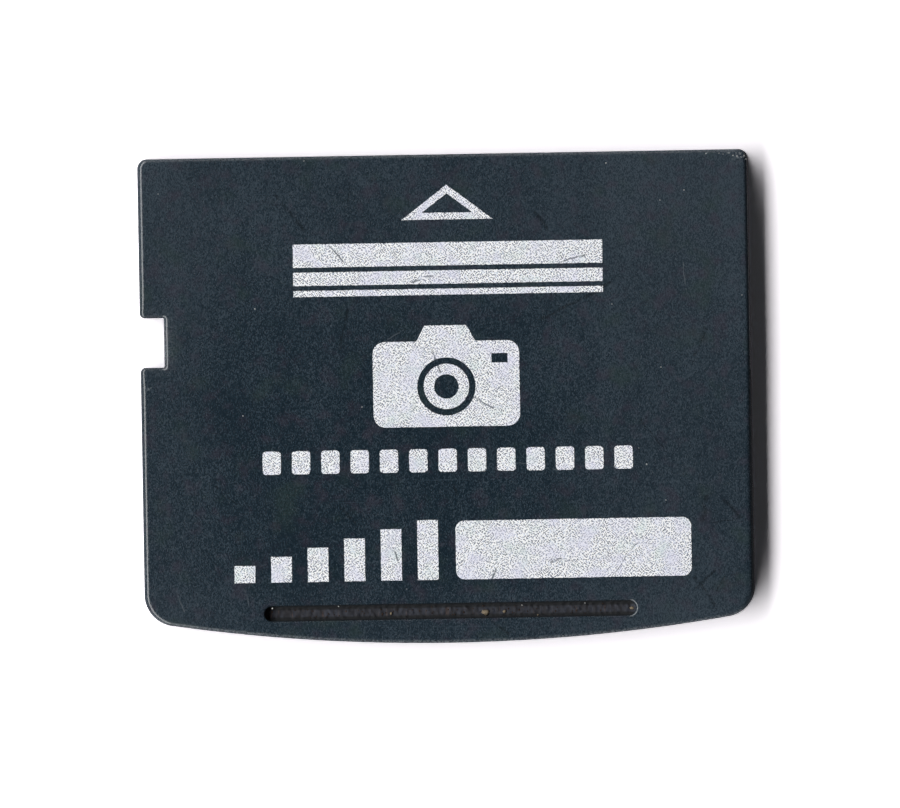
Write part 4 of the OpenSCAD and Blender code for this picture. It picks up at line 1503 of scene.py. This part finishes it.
# %% Build the crumbs
CRUMB_STEPS = 7
CRUMB_ROUGH = 0.22
CRUMB_COUNT = 90
CRUMB_SPREAD = 0.2
CRUMB_MM = (0.012, 0.03)
CRUMB_STRETCH = (0.7, 1.8)
PALE_LIFT = 0.06
WHITE_DROP = 0.09
PALE, WHITE, BROWN = range(3)
CHIPS_PX = [
    (485.5, 612.5, 0.15, 0.125, PALE), (504.5, 611.5, 0.07, 0.06, PALE), (391, 613.5, 0.045, 0.06, PALE),
    (538, 615, 0.035, 0.035, PALE), (632, 608, 0.1, 0.06, PALE),
    (272.5, 608.5, 0.035, 0.035, WHITE), (338.5, 606.5, 0.03, 0.025, WHITE),
    (522, 605, 0.02, 0.02, WHITE), (585, 603, 0.02, 0.02, WHITE),
]
SPECKS_PX = [
    (158, 194), (255, 309), (304, 161), (374, 156), (243, 416), (661, 367), (666, 500), (742, 295),
    (639, 448), (362, 407), (683, 159), (684, 190), (660, 200), (706, 153.5), (719, 153), (723, 154),
    (729, 153), (733, 155.5), (736, 153), (737, 156), (740, 154), (741, 157), (744, 155.5), (746, 159),
    (606, 163), (612, 304), (563, 636),
]
SPECK_MM = (0.012, 0.024)
SPECK_HEIGHT = 0.01
chip_colours = [paint(168, 152, 128), paint(225, 225, 222), paint(74, 56, 46)]
crumb_draw = np.random.default_rng(5)


def crumb(centre, size):
    """A rough ball: a grid of latitude and longitude whose radius is random, closed at its poles."""
    turn = np.linspace(0, 2 * math.pi, CRUMB_STEPS + 2)[:-1]
    tilt = np.linspace(-math.pi / 2, math.pi / 2, CRUMB_STEPS)
    a, b = np.meshgrid(turn, tilt)
    radius = 1 + crumb_draw.uniform(-CRUMB_ROUGH, CRUMB_ROUGH, a.shape)
    radius[0], radius[-1] = 1.0, 1.0
    flat_x, flat_y = np.cos(b) * np.cos(a), np.cos(b) * np.sin(a)
    flat_x[[0, -1]], flat_y[[0, -1]] = 0.0, 0.0
    ball = np.stack((radius * flat_x, radius * flat_y, radius * np.sin(b)), -1)
    return wall(np.asarray(centre) + ball * np.asarray(size))


def crumb_material(name, colour):
    """Dull matter with a little change of shade."""
    material, tree, shader, where = new_material(name, roughness=0.9)
    darker = tuple(0.55 * part for part in colour[:3]) + (1.0,)
    feed(tree, mix(tree, noise(tree, where, 14.0, 3.0), darker, colour), shader.inputs["Base Color"])
    return material


floor_here = groove_floor_z + 0.5 * LUMP_HEIGHT
chip_sets = [[], [], []]
for px, py, half_x, half_y, kind in CHIPS_PX:
    x, y = photo_to_card(px, py)
    height = groove_floor_z + PALE_LIFT if kind == PALE else case_t - WHITE_DROP
    chip_sets[kind].append(crumb((x, y, height), (half_x, half_y, 0.6 * min(half_x, half_y) + 0.015)))
for px, py in SPECKS_PX:
    x, y = photo_to_card(px, py)
    from_edge = min(half_w - abs(x), half_l - y)
    on_roll = max(FRONT_ROLL_R - max(from_edge, 0.05), 0.0)
    height = case_t - FRONT_ROLL_R + math.sqrt(FRONT_ROLL_R ** 2 - on_roll ** 2)
    half_x, half_y = crumb_draw.uniform(*SPECK_MM, 2)
    chip_sets[WHITE].append(crumb((x, y, height), (half_x, half_y, SPECK_HEIGHT)))
for _ in range(CRUMB_COUNT):
    x = crumb_draw.uniform(-groove_end, groove_end + 0.1)
    y = groove_y + crumb_draw.uniform(-CRUMB_SPREAD, CRUMB_SPREAD)
    size = crumb_draw.uniform(*CRUMB_MM)
    stretch = crumb_draw.uniform(*CRUMB_STRETCH)
    chip_sets[BROWN].append(crumb((x, y, floor_here + 0.3 * size), (size, size * stretch, size * 0.8)))
for label, patches, colour in zip(("pale_chips", "white_specks", "brown_crumbs"), chip_sets, chip_colours):
    piece = build(label, patches, crumb_material(label, colour), sharp=180.0)

# %% [markdown]
# ## Pieces that keep their own shape
#
# The board, the package and the capacitors are right as solids, so they only get their finish.

# %% Finish the pieces inside
inside_finish = {
    "circuit_board": board_material,
    "memory_package": package_material,
    "capacitor_1": ceramic_material,
    "capacitor_2": ceramic_material,
}
for name, material in inside_finish.items():
    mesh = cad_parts[name].data
    mesh.materials.clear()
    mesh.materials.append(material)
print("finished inside:", ", ".join(inside_finish))

# %% [markdown]
# ## Floor and surroundings
#
# The card lies on white paper that catches its shadow. A scan of small dark things is exposed so far
# that the paper burns out: the shadow's fade starts where the paper still gets six tenths of the light.
# So the paper's colour is 1.7 for the camera and plain white for everything else, and no more light
# falls on the card. Under the card the paper has a hole, and it can't be seen from behind, so that the
# card's back can be looked at from below, by light from below. Where the paper touches the card's back,
# rays shorter than a few hundredths of a millimetre go through it. The scanner's shadows are a little
# purple, so the paper sends back less green. Light from all round stays faint above the paper, as under
# a scanner's lid.

# %% Sheet of paper
FLOOR_HALF = 3.0
PAPER_DROP = 0.000002
HOLE_R = 0.8
hole_low = np.array((-half_w + 1.3, -half_l + 1.4))
hole_high = np.array((half_w - 1.3, half_l - LEAD_LENGTH - 0.2))
hole = rounded_rectangle(hole_low, hole_high, HOLE_R)[:, :2]
paper_edge = np.array(rectangle(-FLOOR_HALF, -FLOOR_HALF, FLOOR_HALF, FLOOR_HALF)) / MM
paper_points, paper_faces = floor([paper_edge, hole], 0.0)
paper_points = paper_points * MM - np.array((0.0, 0.0, PAPER_DROP))
paper_mesh = bpy.data.meshes.new("white_paper")
paper_mesh.from_pydata(paper_points.tolist(), [], paper_faces.tolist())
white_paper = bpy.data.objects.new("white_paper", paper_mesh)
bpy.context.scene.collection.objects.link(white_paper)
print("paper:", len(paper_faces), "triangles, with a hole under the card")

# %% Look of the paper
PAPER_EXPOSURE = 1.7
PAPER_WHITE = 0.9
PAPER_GREEN = 0.965
PAPER_TOUCH = 0.00004


def exposed_paper():
    """White paper, brighter for the camera, clear from behind and where the card touches it."""
    material = bpy.data.materials.new("white_paper")
    material.use_nodes = True
    tree = material.node_tree
    tree.nodes.remove(tree.nodes["Principled BSDF"])
    ray = add(tree, "LightPath").outputs
    white = calc(tree, "MULTIPLY_ADD", ray["Is Camera Ray"], PAPER_EXPOSURE - PAPER_WHITE, PAPER_WHITE)
    less_green = calc(tree, "MULTIPLY", white, PAPER_GREEN)
    colour = add(tree, "CombineColor", Red=white, Green=less_green, Blue=white).outputs[0]
    behind = add(tree, "NewGeometry").outputs["Backfacing"]
    touching = step(tree, ray["Ray Length"], PAPER_TOUCH, 2 * PAPER_TOUCH, 1.0, 0.0)
    look = tree.nodes.new("ShaderNodeMixShader")
    feed(tree, calc(tree, "MAXIMUM", behind, touching), look.inputs[0])
    feed(tree, add(tree, "BsdfDiffuse", Color=colour).outputs[0], look.inputs[1])
    feed(tree, add(tree, "BsdfTransparent").outputs[0], look.inputs[2])
    feed(tree, look.outputs[0], tree.nodes["Material Output"].inputs["Surface"])
    return material


paper_mesh.materials.append(exposed_paper())
print("material:", paper_mesh.materials[0].name)

# %% World
HORIZON_FADE = 0.05
world = bpy.data.worlds.new("scan_light")
bpy.context.scene.world = world
world.use_nodes = True
world_tree = world.node_tree
sky = world_tree.nodes["Background"]
sky_ray = add(world_tree, "LightPath").outputs
seen = calc(world_tree, "MAXIMUM", sky_ray["Is Camera Ray"], sky_ray["Is Transmission Ray"])
direction = add(world_tree, "TexCoord").outputs["Generated"]
upwards = add(world_tree, "SeparateXYZ", Vector=direction).outputs["Z"]
below = step(world_tree, upwards, -HORIZON_FADE, 0.0, 1.0, 0.0)
sky_white = calc(world_tree, "MAXIMUM", seen, below)
sky_strength = calc(world_tree, "MULTIPLY_ADD", sky_white, 1.0 - ROUND_SHARE, ROUND_SHARE)
feed(world_tree, (1.0, 1.0, 1.0, 1.0), sky.inputs["Color"])
feed(world_tree, sky_strength, sky.inputs["Strength"])
print("world:", world.name)

# %% Colour handling: the plain Standard view
bpy.context.scene.view_settings.view_transform = "Standard"
print("view:", bpy.context.scene.view_settings.view_transform)
